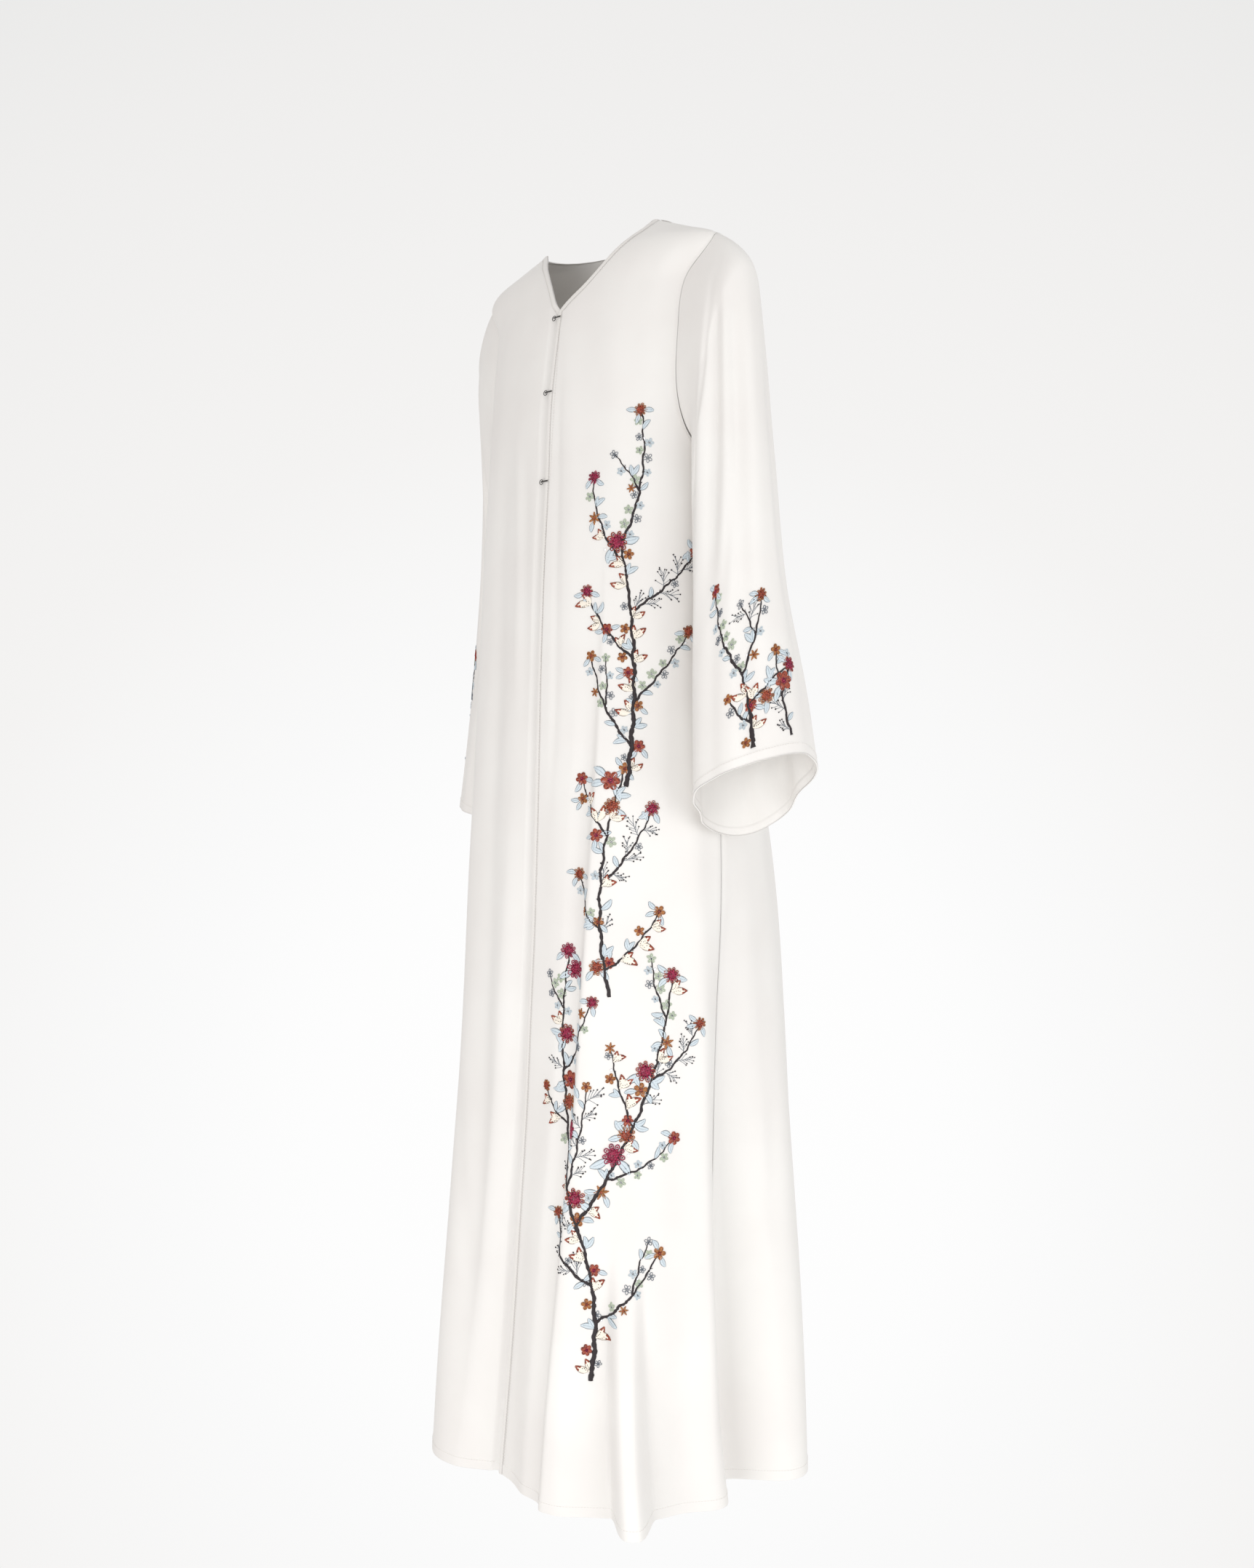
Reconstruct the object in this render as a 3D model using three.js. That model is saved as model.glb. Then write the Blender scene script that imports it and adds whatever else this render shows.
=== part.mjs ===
// Embroidered open-front robe (abaya), worn form, empty inside.
// Millimetres. +Z up, front toward -Y, wearer's left toward +X.
// Origin: middle of the line between the two shoulder tips, at the height of the neck points.
import * as THREE from 'three';

// ---------------------------------------------------------------- sizes
const WALL = 1.6;            // cloth wall
const HEM_Z = -1484;         // hem height
const TOP_Z = -10;           // neck points
const TIP_Z = -48;           // shoulder tips
const HEM_FOLD = 12;         // depth of the turned-up hem
const HEM_RAISE = 0.5;       // how much thicker the turned-up cloth is, each side
const BAND_W = 7;            // binding round the neck and down the fronts
const BAND_LOW = 0.3, BAND_HIGH = 1.3;   // binding, height range above the panel
const UNDER = -4.6;          // how far the right front passes beneath the left
const SEAM = 0.15;           // half of the gap left at each seam

// level z, half width, depth to the front, depth to the back, centre y
const SECTIONS = [
  [-4, 85, 18, 50, 0], [-14, 109, 26, 56, 0], [-30, 148, 40, 66, 0], [-48, 190, 53, 78, 0],
  [-100, 174, 72, 98, 0], [-160, 173, 82, 108, 0], [-230, 170, 90, 114, 0],
  [-317, 170, 96, 124, 2], [-407, 172, 105, 138, 5], [-496, 175, 113, 153, 8],
  [-585, 177, 121, 170, 11], [-673, 180, 129, 188, 14], [-764, 182, 137, 208, 17],
  [-853, 183, 144, 221, 20], [-943, 184, 150, 228, 22], [-1032, 186, 156, 231, 24],
  [-1211, 193, 171, 233, 25], [-1390, 204, 183, 227, 25], [-1484, 214, 187, 213, 25],
];

// Folds of the body. Angles in degrees from the centre front, wearer's left positive.
// name, angle at its top, angle at the hem, top z, full z, height, width before, width after,
// and 1 where its crown is broad and round
const FOLDS = [
  ['right bulge', -50, -34, -150, -1484, 22, 34, 20],
  ['right front', -62, -54, -60, -420, 10, 40, 40],
  ['front valley', 2, -10, -420, -1484, -28, 14, 30],
  ['pleat', 34, 18, -330, -900, 10, 3.5, 24],
  ['pleat hollow', 28, 12, -330, -900, -5, 7, 7],
  ['front ridge', 45, 47, -1150, -1484, 50, 7.5, 7.5, 1],
  ['side flat', 66, 66, -900, -1484, -9, 14, 14],
  ['side valley', 92, 95, -650, -1484, -52, 17, 14],
  ['left back ridge', 118, 114, -600, -1484, 26, 14, 24],
  ['back valley 1', 150, 148, -600, -1484, -22, 16, 16],
  ['back ridge', 176, 178, -600, -1484, 14, 20, 20],
  ['back valley 2', -152, -150, -650, -1484, -24, 16, 16],
  ['right back ridge', -122, -120, -600, -1484, 20, 22, 20],
  ['right valley', -92, -88, -600, -1484, -30, 16, 16],
];

// Armhole: an oval on the body surface.
const ARM = { mid: -168.5, half: 120.5, front: 24, back: 20, power: 2.4 };

// Neckline of the left front in front view: z, x
const NECKLINE = [
  [TOP_Z, 95], [-23, 96], [-36, 87], [-53, 72], [-72, 55], [-90, 35], [-98, 23.5], [-107, 11.5], [-113, 5],
];
// Neckline of the right front, which is drawn toward the wearer's left: z, x
const NECKLINE_RIGHT = [
  [TOP_Z, -84], [-18, -72], [-27, -60], [-38, -49], [-48, -40], [-59, -31], [-77, -18], [-98, -5],
  [-107, 1], [-113, 4.7],
];
// Front edge of the left front below the neckline: z, angle
const LEFT_EDGE = [
  [-113, 1.6], [-211, 0.8], [-500, 0.5], [-675, 0.8], [-845, -0.3],
  [-1016, -3.3], [-1187, -6.2], [-1358, -8.8], [-1484, -11.2],
];
// How far the right front reaches beneath the left one: z, mm
const OVERLAP = [[-113, 2], [-120, 7], [-135, 11], [-400, 12], [-1000, 14], [-1484, 16]];

// Levels of the mesh rows below the neck
const NECK_ROWS = [TOP_Z, -14, -19, -25, -31, -39, TIP_Z];
const ARM_ROWS = [-50.5, -58, -71, -87, -102, -113, -124, -142, -170, -202, -234, -260, -278, -286.5];
const LOW_ROWS = [-345, -430, -530, -640, -740, -840, -940, -1040, -1140, -1230, -1310,
  -1380, -1435, HEM_Z + HEM_FOLD + 1, HEM_Z + HEM_FOLD, HEM_Z];
const ARM_BOTTOM = ARM.mid - ARM.half;
const ROWS = [...NECK_ROWS, ...ARM_ROWS, ARM_BOTTOM, ...LOW_ROWS];

// Columns of each panel: angle at z = -330, angle at the hem
const LEFT_COLUMNS = [
  [6.5, -5], [12, 1.5], [18, 7], [24, 12], [30.5, 15.6], [34, 18], [38, 21.5],
  [42.5, 27.5], [47, 34], [50.5, 39.5], [53.5, 42], [56, 44.5], [58.5, 47], [61, 49.5],
  [63.5, 52], [66, 54.5], [70.5, 61], [76, 70], [81, 79], [85.5, 85], [90, 90],
];
const RIGHT_COLUMNS = [
  [-1, -12.4], [-4.5, -15], [-9, -17.5], [-14, -20], [-20, -23.5], [-26, -27.5], [-32, -32], [-38.5, -38],
  [-45, -45], [-52, -53], [-59, -61], [-67, -69], [-75, -76], [-82.5, -83], [-90, -90],
];
const BACK_COLUMNS = [
  [90, 90], [94, 93.5], [98, 98], [103, 102.5], [109, 108], [116, 114], [123, 120],
  [130, 127], [137, 134], [144, 141], [151, 148], [158, 155], [165, 162], [172, 170], [180, 178],
  [188, 186], [195, 195], [202, 203], [209, 210], [216, 217], [224, 225], [232, 233], [241, 242],
  [250, 251], [260, 261], [270, 270],
];

// Sleeves. Ring: share of the length, centre x, centre y, half width x, half depth y.
// cuff: height of the edge outside, in front, inside, behind; cuffTurn turns these four places.
const SLEEVE_LEFT = {
  side: 1,
  rings: [[0, 202, -4, 30, 43], [0.1, 207, -5, 35, 44], [0.385, 218, -8, 44, 47],
    [0.65, 233, -14, 50, 54], [0.853, 246, -12, 58, 67], [1, 259, -18, 64, 72]],
  cuff: [-655, -650, -695, -729],
  cuffTurn: -45,
  // angle at the armhole, angle at the cuff, start, full, fade from, gone, height, width
  folds: [[58, 96, 0.02, 0.12, 0.45, 0.8, -7, 16], [84, 122, 0.04, 0.2, 0.5, 0.9, 5, 18],
    [28, 52, 0.05, 0.3, 0.8, 1.3, -4, 16], [120, 150, 0.2, 0.5, 1.2, 1.6, -6, 20],
    [-30, -20, 0.1, 0.4, 0.9, 1.5, -3, 20], [-75, -80, 0.15, 0.5, 1.1, 1.6, -8, 20],
    [-130, -125, 0.3, 0.7, 1.2, 1.6, -7, 20]],
};
const SLEEVE_RIGHT = {
  side: -1,
  rings: [[0, 202, 12, 30, 42], [0.1, 205, 24, 33, 42], [0.385, 217, 43, 39, 43],
    [0.65, 229, 50, 44, 49], [0.853, 239, 53, 50, 57], [1, 250, 55, 54, 62]],
  cuff: [-700, -712, -722, -730],
  cuffTurn: 0,
  folds: [[50, 80, 0.02, 0.15, 0.5, 0.9, -6, 16], [82, 108, 0.05, 0.3, 0.7, 1.2, 4, 16],
    [20, 34, 0.1, 0.4, 0.9, 1.5, -5, 16], [125, 140, 0.25, 0.6, 1.2, 1.6, -7, 20],
    [-35, -40, 0.1, 0.5, 1.1, 1.6, -6, 20], [-85, -90, 0.1, 0.5, 1.1, 1.6, -7, 20],
    [-132, -130, 0.3, 0.7, 1.2, 1.6, -6, 20]],
};
const SLEEVE_RINGS = [0, 0.012, 0.03, 0.055, 0.085, 0.13, 0.2, 0.3, 0.41, 0.52, 0.63, 0.74,
  0.84, 0.92, 0.972, 0.981, 1];

// Hooks and eyes: level of each pair
const HOOK_LEVELS = [-121, -211, -317];
const HOOK_PATH = [[-6.5, 2.3], [-3.2, 2.3], [0, 2.5], [2.6, 2.55], [4.4, 2.35], [5.2, 1.8], [5.2, 1.0]];
const HOOK_HALF = [0.95, 0.45];          // half width, half thickness of the hook's bar
const EYE = { along: 5.4, height: 1.15, radius: 2.9, wire: 0.45 };

// ---------------------------------------------------------------- small maths
const lerp = (a, b, t) => a + (b - a) * t;
const clamp = (v, a, b) => Math.min(b, Math.max(a, v));
const smooth = (a, b, x) => { const t = clamp((x - a) / (b - a), 0, 1); return t * t * (3 - 2 * t); };
const RAD = Math.PI / 180;
const wrap = (a) => ((a + 180) % 360 + 360) % 360 - 180;
const add = (a, b, k = 1) => [a[0] + k * b[0], a[1] + k * b[1], a[2] + k * b[2]];
const cross = (a, b) => [a[1] * b[2] - a[2] * b[1], a[2] * b[0] - a[0] * b[2], a[0] * b[1] - a[1] * b[0]];
const size = (a) => Math.hypot(a[0], a[1], a[2]);
const unit = (a) => { const n = size(a) || 1; return [a[0] / n, a[1] / n, a[2] / n]; };

// Smooth curve through the rows of a table; the first entry of a row is where it stands.
function track(t, table, col = 1) {
  const rows = table[0][0] < table[table.length - 1][0] ? table : [...table].reverse();
  const n = rows.length;
  const x = clamp(t, rows[0][0], rows[n - 1][0]);
  let i = 0;
  while (i < n - 2 && x > rows[i + 1][0]) i += 1;
  const slope = (k) => (rows[k + 1][col] - rows[k][col]) / (rows[k + 1][0] - rows[k][0]);
  const tangent = (k) => (k === 0 ? slope(0) : k === n - 1 ? slope(n - 2) : (slope(k - 1) + slope(k)) / 2);
  const h = rows[i + 1][0] - rows[i][0], u = (x - rows[i][0]) / h;
  return (1 + 2 * u) * (1 - u) ** 2 * rows[i][col] + u * (1 - u) ** 2 * h * tangent(i)
    + u * u * (3 - 2 * u) * rows[i + 1][col] + u * u * (u - 1) * h * tangent(i + 1);
}

// Rounded swelling, 1 in the middle and 0 beyond its widths. A broad crown stays near 1 longer.
function swell(d, before, after, crown = 0) {
  const u = Math.abs(d) / (d < 0 ? before : after);
  const t = crown ? u * u * (2 - u) : u;
  return u < 1 ? Math.cos(t * Math.PI / 2) ** 2 : 0;
}

// ---------------------------------------------------------------- body surface
function body(phi, z) {
  const [A, F, B, yc] = [1, 2, 3, 4].map((c) => track(z, SECTIONS, c));
  const r = phi * RAD, D = Math.cos(r) > 0 ? F : B;
  let nx = Math.sin(r) / A, ny = -Math.cos(r) / D;
  const n = Math.hypot(nx, ny); nx /= n; ny /= n;
  let out = 0;
  for (const [, a0, a1, zt, zf, h, before, after, crown] of FOLDS) {
    if (z >= zt) continue;
    const k = clamp((zt - z) / (zt - HEM_Z), 0, 1) ** 1.5;
    out += h * smooth(zt, zf, z) * swell(wrap(phi - lerp(a0, a1, k)), before, after, crown);
  }
  return [A * Math.sin(r) + nx * out, yc - D * Math.cos(r) + ny * out, z];
}
const perDegree = (phi, z) => size(add(body(phi + 0.5, z), body(phi - 0.5, z), -1));
const perLevel = (phi, z) => size(add(body(phi, z + 0.5), body(phi, z - 0.5), -1));
function bodyNormal(phi, z) {
  const a = add(body(phi + 0.3, z), body(phi - 0.3, z), -1);
  const b = add(body(phi, z + 0.8), body(phi, z - 0.8), -1);
  return unit(cross(a, b));
}
const bodyOut = (p, off) => add(body(p[0], p[1]), bodyNormal(p[0], p[1]), off);
const hemExtra = (z) => (z <= HEM_Z + HEM_FOLD + 0.01 ? HEM_RAISE : 0);

// ---------------------------------------------------------------- edges on the surface
const sectionAngle = (x, z) => Math.asin(clamp(x / track(z, SECTIONS, 1), -1, 1)) / RAD;
const leftEdge = (z) => (z > -113 ? sectionAngle(track(z, NECKLINE), z) : track(z, LEFT_EDGE));
const rightEdge = (z) => (z > -113 ? sectionAngle(track(z, NECKLINE_RIGHT), z) + 0.7 * smooth(-107, -113, z)
  : track(z, LEFT_EDGE) + track(z, OVERLAP) / perDegree(0, z));
function armAngle(z, which, grow = 0) {
  const t = clamp(Math.abs((z - ARM.mid) / ARM.half), 0, 1);
  const d = (ARM[which] + grow) * (1 - t ** ARM.power) ** (1 / ARM.power);
  return which === 'front' ? 90 - d : 90 + d;
}
// Seam between front and back: shoulder above the armhole, side below it.
function sideAngle(z, which) {
  if (z < TIP_Z - 0.01 && z > ARM_BOTTOM + 0.01) return armAngle(z, which);
  const s = which === 'front' ? -1 : 1;
  return 90 + s * SEAM / perDegree(90 + 2 * s, z);
}
// Point moved sideways on the surface by w mm, away from the edge line it stands on.
function beside(edge, z, w, sign) {
  const up = edge(z + 0.5), down = edge(z - 0.5), here = edge(z);
  const k = perDegree(here, z), m = perLevel(here, z);
  const tx = (down - up) * k, tz = -m, n = Math.hypot(tx, tz);
  return [here + sign * w * (-tz / n) / k, z + sign * w * (tx / n) / m];
}

// ---------------------------------------------------------------- closed solids
// outer and inner are grids [row][column] of points; around joins the last column to the first.
function solid(outer, inner, around = false) {
  const R = outer.length, C = outer[0].length, pts = [], idx = [];
  for (const g of [outer, inner]) for (const row of g) for (const p of row) pts.push(...p);
  const o = (i, j) => i * C + (j % C), q = (i, j) => R * C + i * C + (j % C);
  const quad = (a, b, c, d) => idx.push(a, b, c, a, c, d);
  const last = around ? C : C - 1;
  for (let i = 0; i < R - 1; i += 1) {
    for (let j = 0; j < last; j += 1) {
      quad(o(i, j), o(i + 1, j), o(i + 1, j + 1), o(i, j + 1));
      quad(q(i, j), q(i, j + 1), q(i + 1, j + 1), q(i + 1, j));
    }
    if (!around) {
      quad(o(i, 0), q(i, 0), q(i + 1, 0), o(i + 1, 0));
      quad(o(i, C - 1), o(i + 1, C - 1), q(i + 1, C - 1), q(i, C - 1));
    }
  }
  for (let j = 0; j < last; j += 1) {
    quad(o(0, j), o(0, j + 1), q(0, j + 1), q(0, j));
    quad(o(R - 1, j), q(R - 1, j), q(R - 1, j + 1), o(R - 1, j + 1));
  }
  return geometry(pts, idx);
}
function geometry(pts, idx) {
  let volume = 0;
  const at = (i) => [pts[3 * i], pts[3 * i + 1], pts[3 * i + 2]];
  for (let t = 0; t < idx.length; t += 3) {
    const [a, b, c] = [at(idx[t]), at(idx[t + 1]), at(idx[t + 2])];
    const n = cross(b, c);
    volume += (a[0] * n[0] + a[1] * n[1] + a[2] * n[2]) / 6;
  }
  if (volume < 0) for (let t = 0; t < idx.length; t += 3) [idx[t], idx[t + 1]] = [idx[t + 1], idx[t]];
  const g = new THREE.BufferGeometry();
  g.setAttribute('position', new THREE.Float32BufferAttribute(pts, 3));
  g.setIndex(idx);
  g.computeVertexNormals();
  return g;
}
const mapGrid = (grid, fn) => grid.map((row) => row.map(fn));

// ---------------------------------------------------------------- panels
// Share of the way across at each column, going from the z = -330 list to the hem list.
function shares(columns, from0, from1) {
  const top = columns.map(([a]) => (a - from0) / (columns.at(-1)[0] - from0));
  const hem = columns.map(([, a]) => (a - from1) / (columns.at(-1)[1] - from1));
  return (z, j) => lerp(top[j], hem[j], clamp((-330 - z) / (-330 - HEM_Z), 0, 1) ** 1.5);
}
function frontGrid(edge, columns, sign) {
  const start = (z) => edge(z) + sign * BAND_W / perDegree(edge(z), z);
  const share = shares(columns, start(-330), start(HEM_Z));
  return ROWS.map((z) => {
    const band = [0, BAND_W / 2, BAND_W].map((w) => beside(edge, z, w, sign));
    band.forEach((p) => { p[1] = Math.max(p[1], HEM_Z); });
    const end = sign * sideAngle(z, 'front'), from = band[2];
    return [...band, ...columns.map((_, j) => {
      const s = share(z, j);
      return [lerp(from[0], end, s), lerp(from[1], z, s)];
    })];
  });
}
const leftGrid = frontGrid(leftEdge, LEFT_COLUMNS, 1);
const rightGrid = frontGrid(rightEdge, RIGHT_COLUMNS, -1);

// The right front dips beneath the left one close to the left one's edge.
function dip([phi, z]) {
  const gap = (leftEdge(Math.max(z, HEM_Z)) - phi) * perDegree(phi, z);
  return UNDER * (1 - smooth(3.5, 15, gap));
}
const panel = (grid, off) => solid(
  mapGrid(grid, (p) => bodyOut(p, off(p) + hemExtra(p[1]))),
  mapGrid(grid, (p) => bodyOut(p, off(p) - WALL - hemExtra(p[1]))));
const onTop = (grid, off) => solid(
  mapGrid(grid, (p) => bodyOut(p, off(p) + hemExtra(p[1]) + BAND_HIGH)),
  mapGrid(grid, (p) => bodyOut(p, off(p) + hemExtra(p[1]) + BAND_LOW)));

const backShare = shares(BACK_COLUMNS, 90, 90);
const backRows = [0, BAND_W / 2, BAND_W, ...ROWS.filter((z) => z < -18)];
const backGrid = backRows.map((row) => BACK_COLUMNS.map((_, j) => {
  if (row >= 0) {
    const from = sideAngle(TOP_Z, 'back'), phi = lerp(from, 360 - from, backShare(0, j));
    const z = TOP_Z - row / perLevel(phi, TOP_Z - row / 2);
    const side = sideAngle(z, 'back');
    return [lerp(side, 360 - side, backShare(0, j)), z];
  }
  const side = sideAngle(row, 'back');
  return [lerp(side, 360 - side, backShare(row, j)), row];
}));

// ---------------------------------------------------------------- sleeves
// Angle round the sleeve: 0 outside, 90 in front, 180 inside, 270 behind.
const RING_COLUMNS = (() => {
  const t = ARM_ROWS.map((z) => Math.acos(clamp((z - ARM.mid) / ARM.half, -1, 1)) / RAD);
  return [0, ...t, 180, ...[...t].reverse().map((a) => 360 - a)];
})();
function armholeAngles(theta) {
  const c = Math.cos(theta * RAD), front = theta % 360 < 180;
  const shrink = (ARM.half - 0.35) / ARM.half;
  const z = ARM.mid + ARM.half * c;
  const phi = armAngle(z, front ? 'front' : 'back', -0.16);
  return [phi, ARM.mid + (z - ARM.mid) * shrink];
}
function sleevePoint(s, theta, t) {
  const [phi, za] = armholeAngles((theta % 360 + 360) % 360);
  const start = bodyOut([s.side * phi, za], 0.3);
  const c = Math.cos(theta * RAD), n = Math.sin(theta * RAD), q = (theta - s.cuffTurn) * RAD;
  const [out, front, inside, behind] = s.cuff;
  const flat = (out + inside + front + behind) / 4, twist = (out + inside - front - behind) / 4;
  const zc = flat + (out - inside) / 2 * Math.cos(q) + (front - behind) / 2 * Math.sin(q)
    + twist * Math.cos(2 * q);
  let swellOut = 0;
  for (const [a0, a1, t0, t1, t2, t3, h, w] of s.folds) {
    const d = wrap(theta - lerp(a0, a1, t));
    swellOut += h * smooth(t0, t1, t) * (1 - smooth(t2, t3, t)) * swell(d, w, w);
  }
  const [cx, cy, rx, ry] = [1, 2, 3, 4].map((k) => track(t, s.rings, k));
  const tube = [s.side * (cx + (rx + swellOut) * c), cy - (ry + swellOut) * n];
  const g = 1 - (1 - clamp(t / 0.085, 0, 1)) ** 2;
  const drop = t * lerp(1, smooth(0, 0.1, t), (1 - c) / 2);
  return [lerp(start[0], tube[0], g), lerp(start[1], tube[1], g), lerp(za, zc, drop)];
}
function sleeve(s) {
  const offset = (theta, t, off) => {
    const a = add(sleevePoint(s, theta + 0.8, t), sleevePoint(s, theta - 0.8, t), -1);
    const b = add(sleevePoint(s, theta, Math.min(1, t + 0.004)),
      sleevePoint(s, theta, Math.max(0, t - 0.004)), -1);
    const [phi, za] = armholeAngles(theta);
    const seam = bodyNormal(s.side * phi, za);
    const own = unit(cross(a, b)).map((v) => v * s.side);
    const facing = own[0] * seam[0] + own[1] * seam[1] + own[2] * seam[2];
    const mix = smooth(-0.2, 0.6, facing) * (1 - smooth(0, 0.05, t));
    return add(sleevePoint(s, theta, t), unit(own.map((v, i) => lerp(v, seam[i], mix))), off);
  };
  const raise = (t) => (t > 0.98 ? HEM_RAISE : 0);
  const grid = SLEEVE_RINGS.map((t) => RING_COLUMNS.map((theta) => [theta, t]));
  return solid(mapGrid(grid, ([theta, t]) => offset(theta, t, raise(t))),
    mapGrid(grid, ([theta, t]) => offset(theta, t, -WALL - raise(t))), true);
}

// ---------------------------------------------------------------- hooks and eyes
// Local frame at the left front's edge: a across toward the wearer's right, n outward, d down.
function closure(z) {
  const phi = leftEdge(z), o = body(phi, z), n = bodyNormal(phi, z);
  const a = unit(add(body(phi - 2, z), body(phi + 2, z), -1));
  const d = unit(cross(n, a));
  const out = unit(cross(a, d)).map((v, i, m) => (m[0] * n[0] + m[1] * n[1] + m[2] * n[2] < 0 ? -v : v));
  return (x, y, h) => add(add(add(o, a, x), d, y), out, h);
}
function hook(z) {
  const at = closure(z), sides = 8;
  const rings = HOOK_PATH.map(([x, h], i) => {
    const before = HOOK_PATH[Math.max(0, i - 1)], after = HOOK_PATH[Math.min(HOOK_PATH.length - 1, i + 1)];
    const l = Math.hypot(after[0] - before[0], after[1] - before[1]);
    const nx = -(after[1] - before[1]) / l, nh = (after[0] - before[0]) / l;
    return Array.from({ length: sides }, (_, k) => {
      const t = 2 * Math.PI * k / sides;
      const w = HOOK_HALF[0] * Math.cos(t), e = HOOK_HALF[1] * Math.sin(t);
      return at(x + nx * e, w, h + nh * e);
    });
  });
  const pts = rings.flat(2), idx = [], n = rings.length;
  for (let i = 0; i < n - 1; i += 1) {
    for (let k = 0; k < sides; k += 1) {
      const [a, b] = [i * sides + k, i * sides + (k + 1) % sides];
      idx.push(a, b, b + sides, a, b + sides, a + sides);
    }
  }
  for (let k = 1; k < sides - 1; k += 1) {
    idx.push(0, k + 1, k);
    idx.push((n - 1) * sides, (n - 1) * sides + k, (n - 1) * sides + k + 1);
  }
  return geometry(pts, idx);
}
function eye(z) {
  const at = closure(z), around = 18, sides = 6, pts = [], idx = [];
  for (let i = 0; i < around; i += 1) {
    const t = 2 * Math.PI * i / around;
    for (let k = 0; k < sides; k += 1) {
      const u = 2 * Math.PI * k / sides, r = EYE.radius + EYE.wire * Math.cos(u);
      pts.push(...at(EYE.along + r * Math.cos(t), r * Math.sin(t), EYE.height + EYE.wire * Math.sin(u)));
      const a = i * sides + k, b = i * sides + (k + 1) % sides;
      const c = ((i + 1) % around) * sides + (k + 1) % sides, d = ((i + 1) % around) * sides + k;
      idx.push(a, b, c, a, c, d);
    }
  }
  return geometry(pts, idx);
}

// ---------------------------------------------------------------- materials and assembly
const cloth = new THREE.MeshStandardMaterial({ name: 'crepe', color: 0xf1eeea, roughness: 0.62, metalness: 0 });
const binding = new THREE.MeshStandardMaterial({ name: 'binding', color: 0xefebe6, roughness: 0.55, metalness: 0 });
const metal = new THREE.MeshStandardMaterial({ name: 'dark metal', color: 0x3a3836, roughness: 0.4, metalness: 0.9 });

const root = new THREE.Group();
root.name = 'abaya';
function piece(name, geo, material) {
  const mesh = new THREE.Mesh(geo, material);
  mesh.name = name;
  root.add(mesh);
}
const flat = () => 0;
piece('back', panel(backGrid, flat), cloth);
piece('front_left', panel(leftGrid, flat), cloth);
piece('front_right', panel(rightGrid, dip), cloth);
piece('sleeve_left', sleeve(SLEEVE_LEFT), cloth);
piece('sleeve_right', sleeve(SLEEVE_RIGHT), cloth);
piece('neckband', onTop(backGrid.slice(0, 3), flat), binding);
piece('band_left', onTop(leftGrid.map((row) => row.slice(0, 3)), flat), binding);
piece('band_right', onTop(rightGrid.map((row) => row.slice(0, 3)), dip), binding);
HOOK_LEVELS.forEach((z, i) => {
  piece(`hook_${i + 1}`, hook(z), metal);
  piece(`eye_${i + 1}`, eye(z), metal);
});

export default root;
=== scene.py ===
# %% [markdown]
# # An open-front robe with embroidered twigs (abaya)
# A robe of thin off-white crepe hangs as it is worn: two fronts that hook together at the
# chest, a back, two flared sleeves, and a narrow binding round the neck and down the fronts.
# Coloured twigs, blossoms and leaves are sewn on the left front and the cuffs.
# Everything is in metres; +Z is up, the front faces -Y and the wearer's left is +X.
# The tables below are in millimetres and degrees, as a pattern cutter measures.

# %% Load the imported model
import bpy
import math
import numpy as np
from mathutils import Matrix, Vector


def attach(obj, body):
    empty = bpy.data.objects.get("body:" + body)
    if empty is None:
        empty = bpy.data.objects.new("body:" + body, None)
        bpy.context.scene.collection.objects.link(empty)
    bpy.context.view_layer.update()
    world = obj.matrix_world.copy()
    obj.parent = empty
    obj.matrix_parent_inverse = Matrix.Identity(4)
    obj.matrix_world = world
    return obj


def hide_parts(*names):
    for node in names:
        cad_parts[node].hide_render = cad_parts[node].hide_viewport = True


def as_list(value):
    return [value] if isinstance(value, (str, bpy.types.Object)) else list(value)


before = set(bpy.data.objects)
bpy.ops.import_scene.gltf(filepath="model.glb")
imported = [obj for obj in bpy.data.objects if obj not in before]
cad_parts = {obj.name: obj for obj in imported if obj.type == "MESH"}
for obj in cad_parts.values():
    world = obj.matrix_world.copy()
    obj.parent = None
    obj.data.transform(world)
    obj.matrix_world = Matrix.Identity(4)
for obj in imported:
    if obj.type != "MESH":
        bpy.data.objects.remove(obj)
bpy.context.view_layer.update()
MM = 0.001
print("nodes:", ", ".join(sorted(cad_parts)))

# %% [markdown]
# ## The camera
# The robe is seen half from its left, from the height of its middle. The camera stands about
# two metres away with a normal lens, and looks level, so that verticals stay upright.

# %% Camera
IMAGE_HEIGHT_PX, FOCAL_PX, SENSOR = 2156, 2095, 36.0
AZIMUTH, DISTANCE, ASIDE, EYE_LEVEL = math.radians(45), 1.862, 0.031, -0.673
camera_data = bpy.data.cameras.new("camera")
camera_data.sensor_fit = "VERTICAL"
camera_data.sensor_height = SENSOR
camera_data.lens = SENSOR * FOCAL_PX / IMAGE_HEIGHT_PX
camera = bpy.data.objects.new("camera", camera_data)
camera.location = (DISTANCE * math.sin(AZIMUTH) + ASIDE * math.cos(AZIMUTH),
                   -DISTANCE * math.cos(AZIMUTH) + ASIDE * math.sin(AZIMUTH), EYE_LEVEL)
camera.rotation_euler = (math.radians(90), 0, AZIMUTH)
bpy.context.scene.collection.objects.link(camera)
bpy.context.scene.camera = camera
print("lens", round(camera_data.lens, 2), "mm")

# %% [markdown]
# ## Small maths
# A garment is drawn from a few measured levels. `track` joins them with a smooth curve,
# `smooth` fades one thing into another, and `swell` is the rounded top of a fold.

# %% Curves and fades
def smooth(a, b, x):
    """0 before a, 1 after b, and 3t^2 - 2t^3 between them."""
    t = np.clip((x - a) / (b - a), 0, 1)
    return t * t * (3 - 2 * t)


def mix(a, b, t):
    """a at t = 0, b at t = 1, and a straight line between them."""
    return a + (b - a) * t


def wrap(angle):
    """An angle brought into -180 to 180 degrees."""
    return (angle + 180) % 360 - 180


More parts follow.
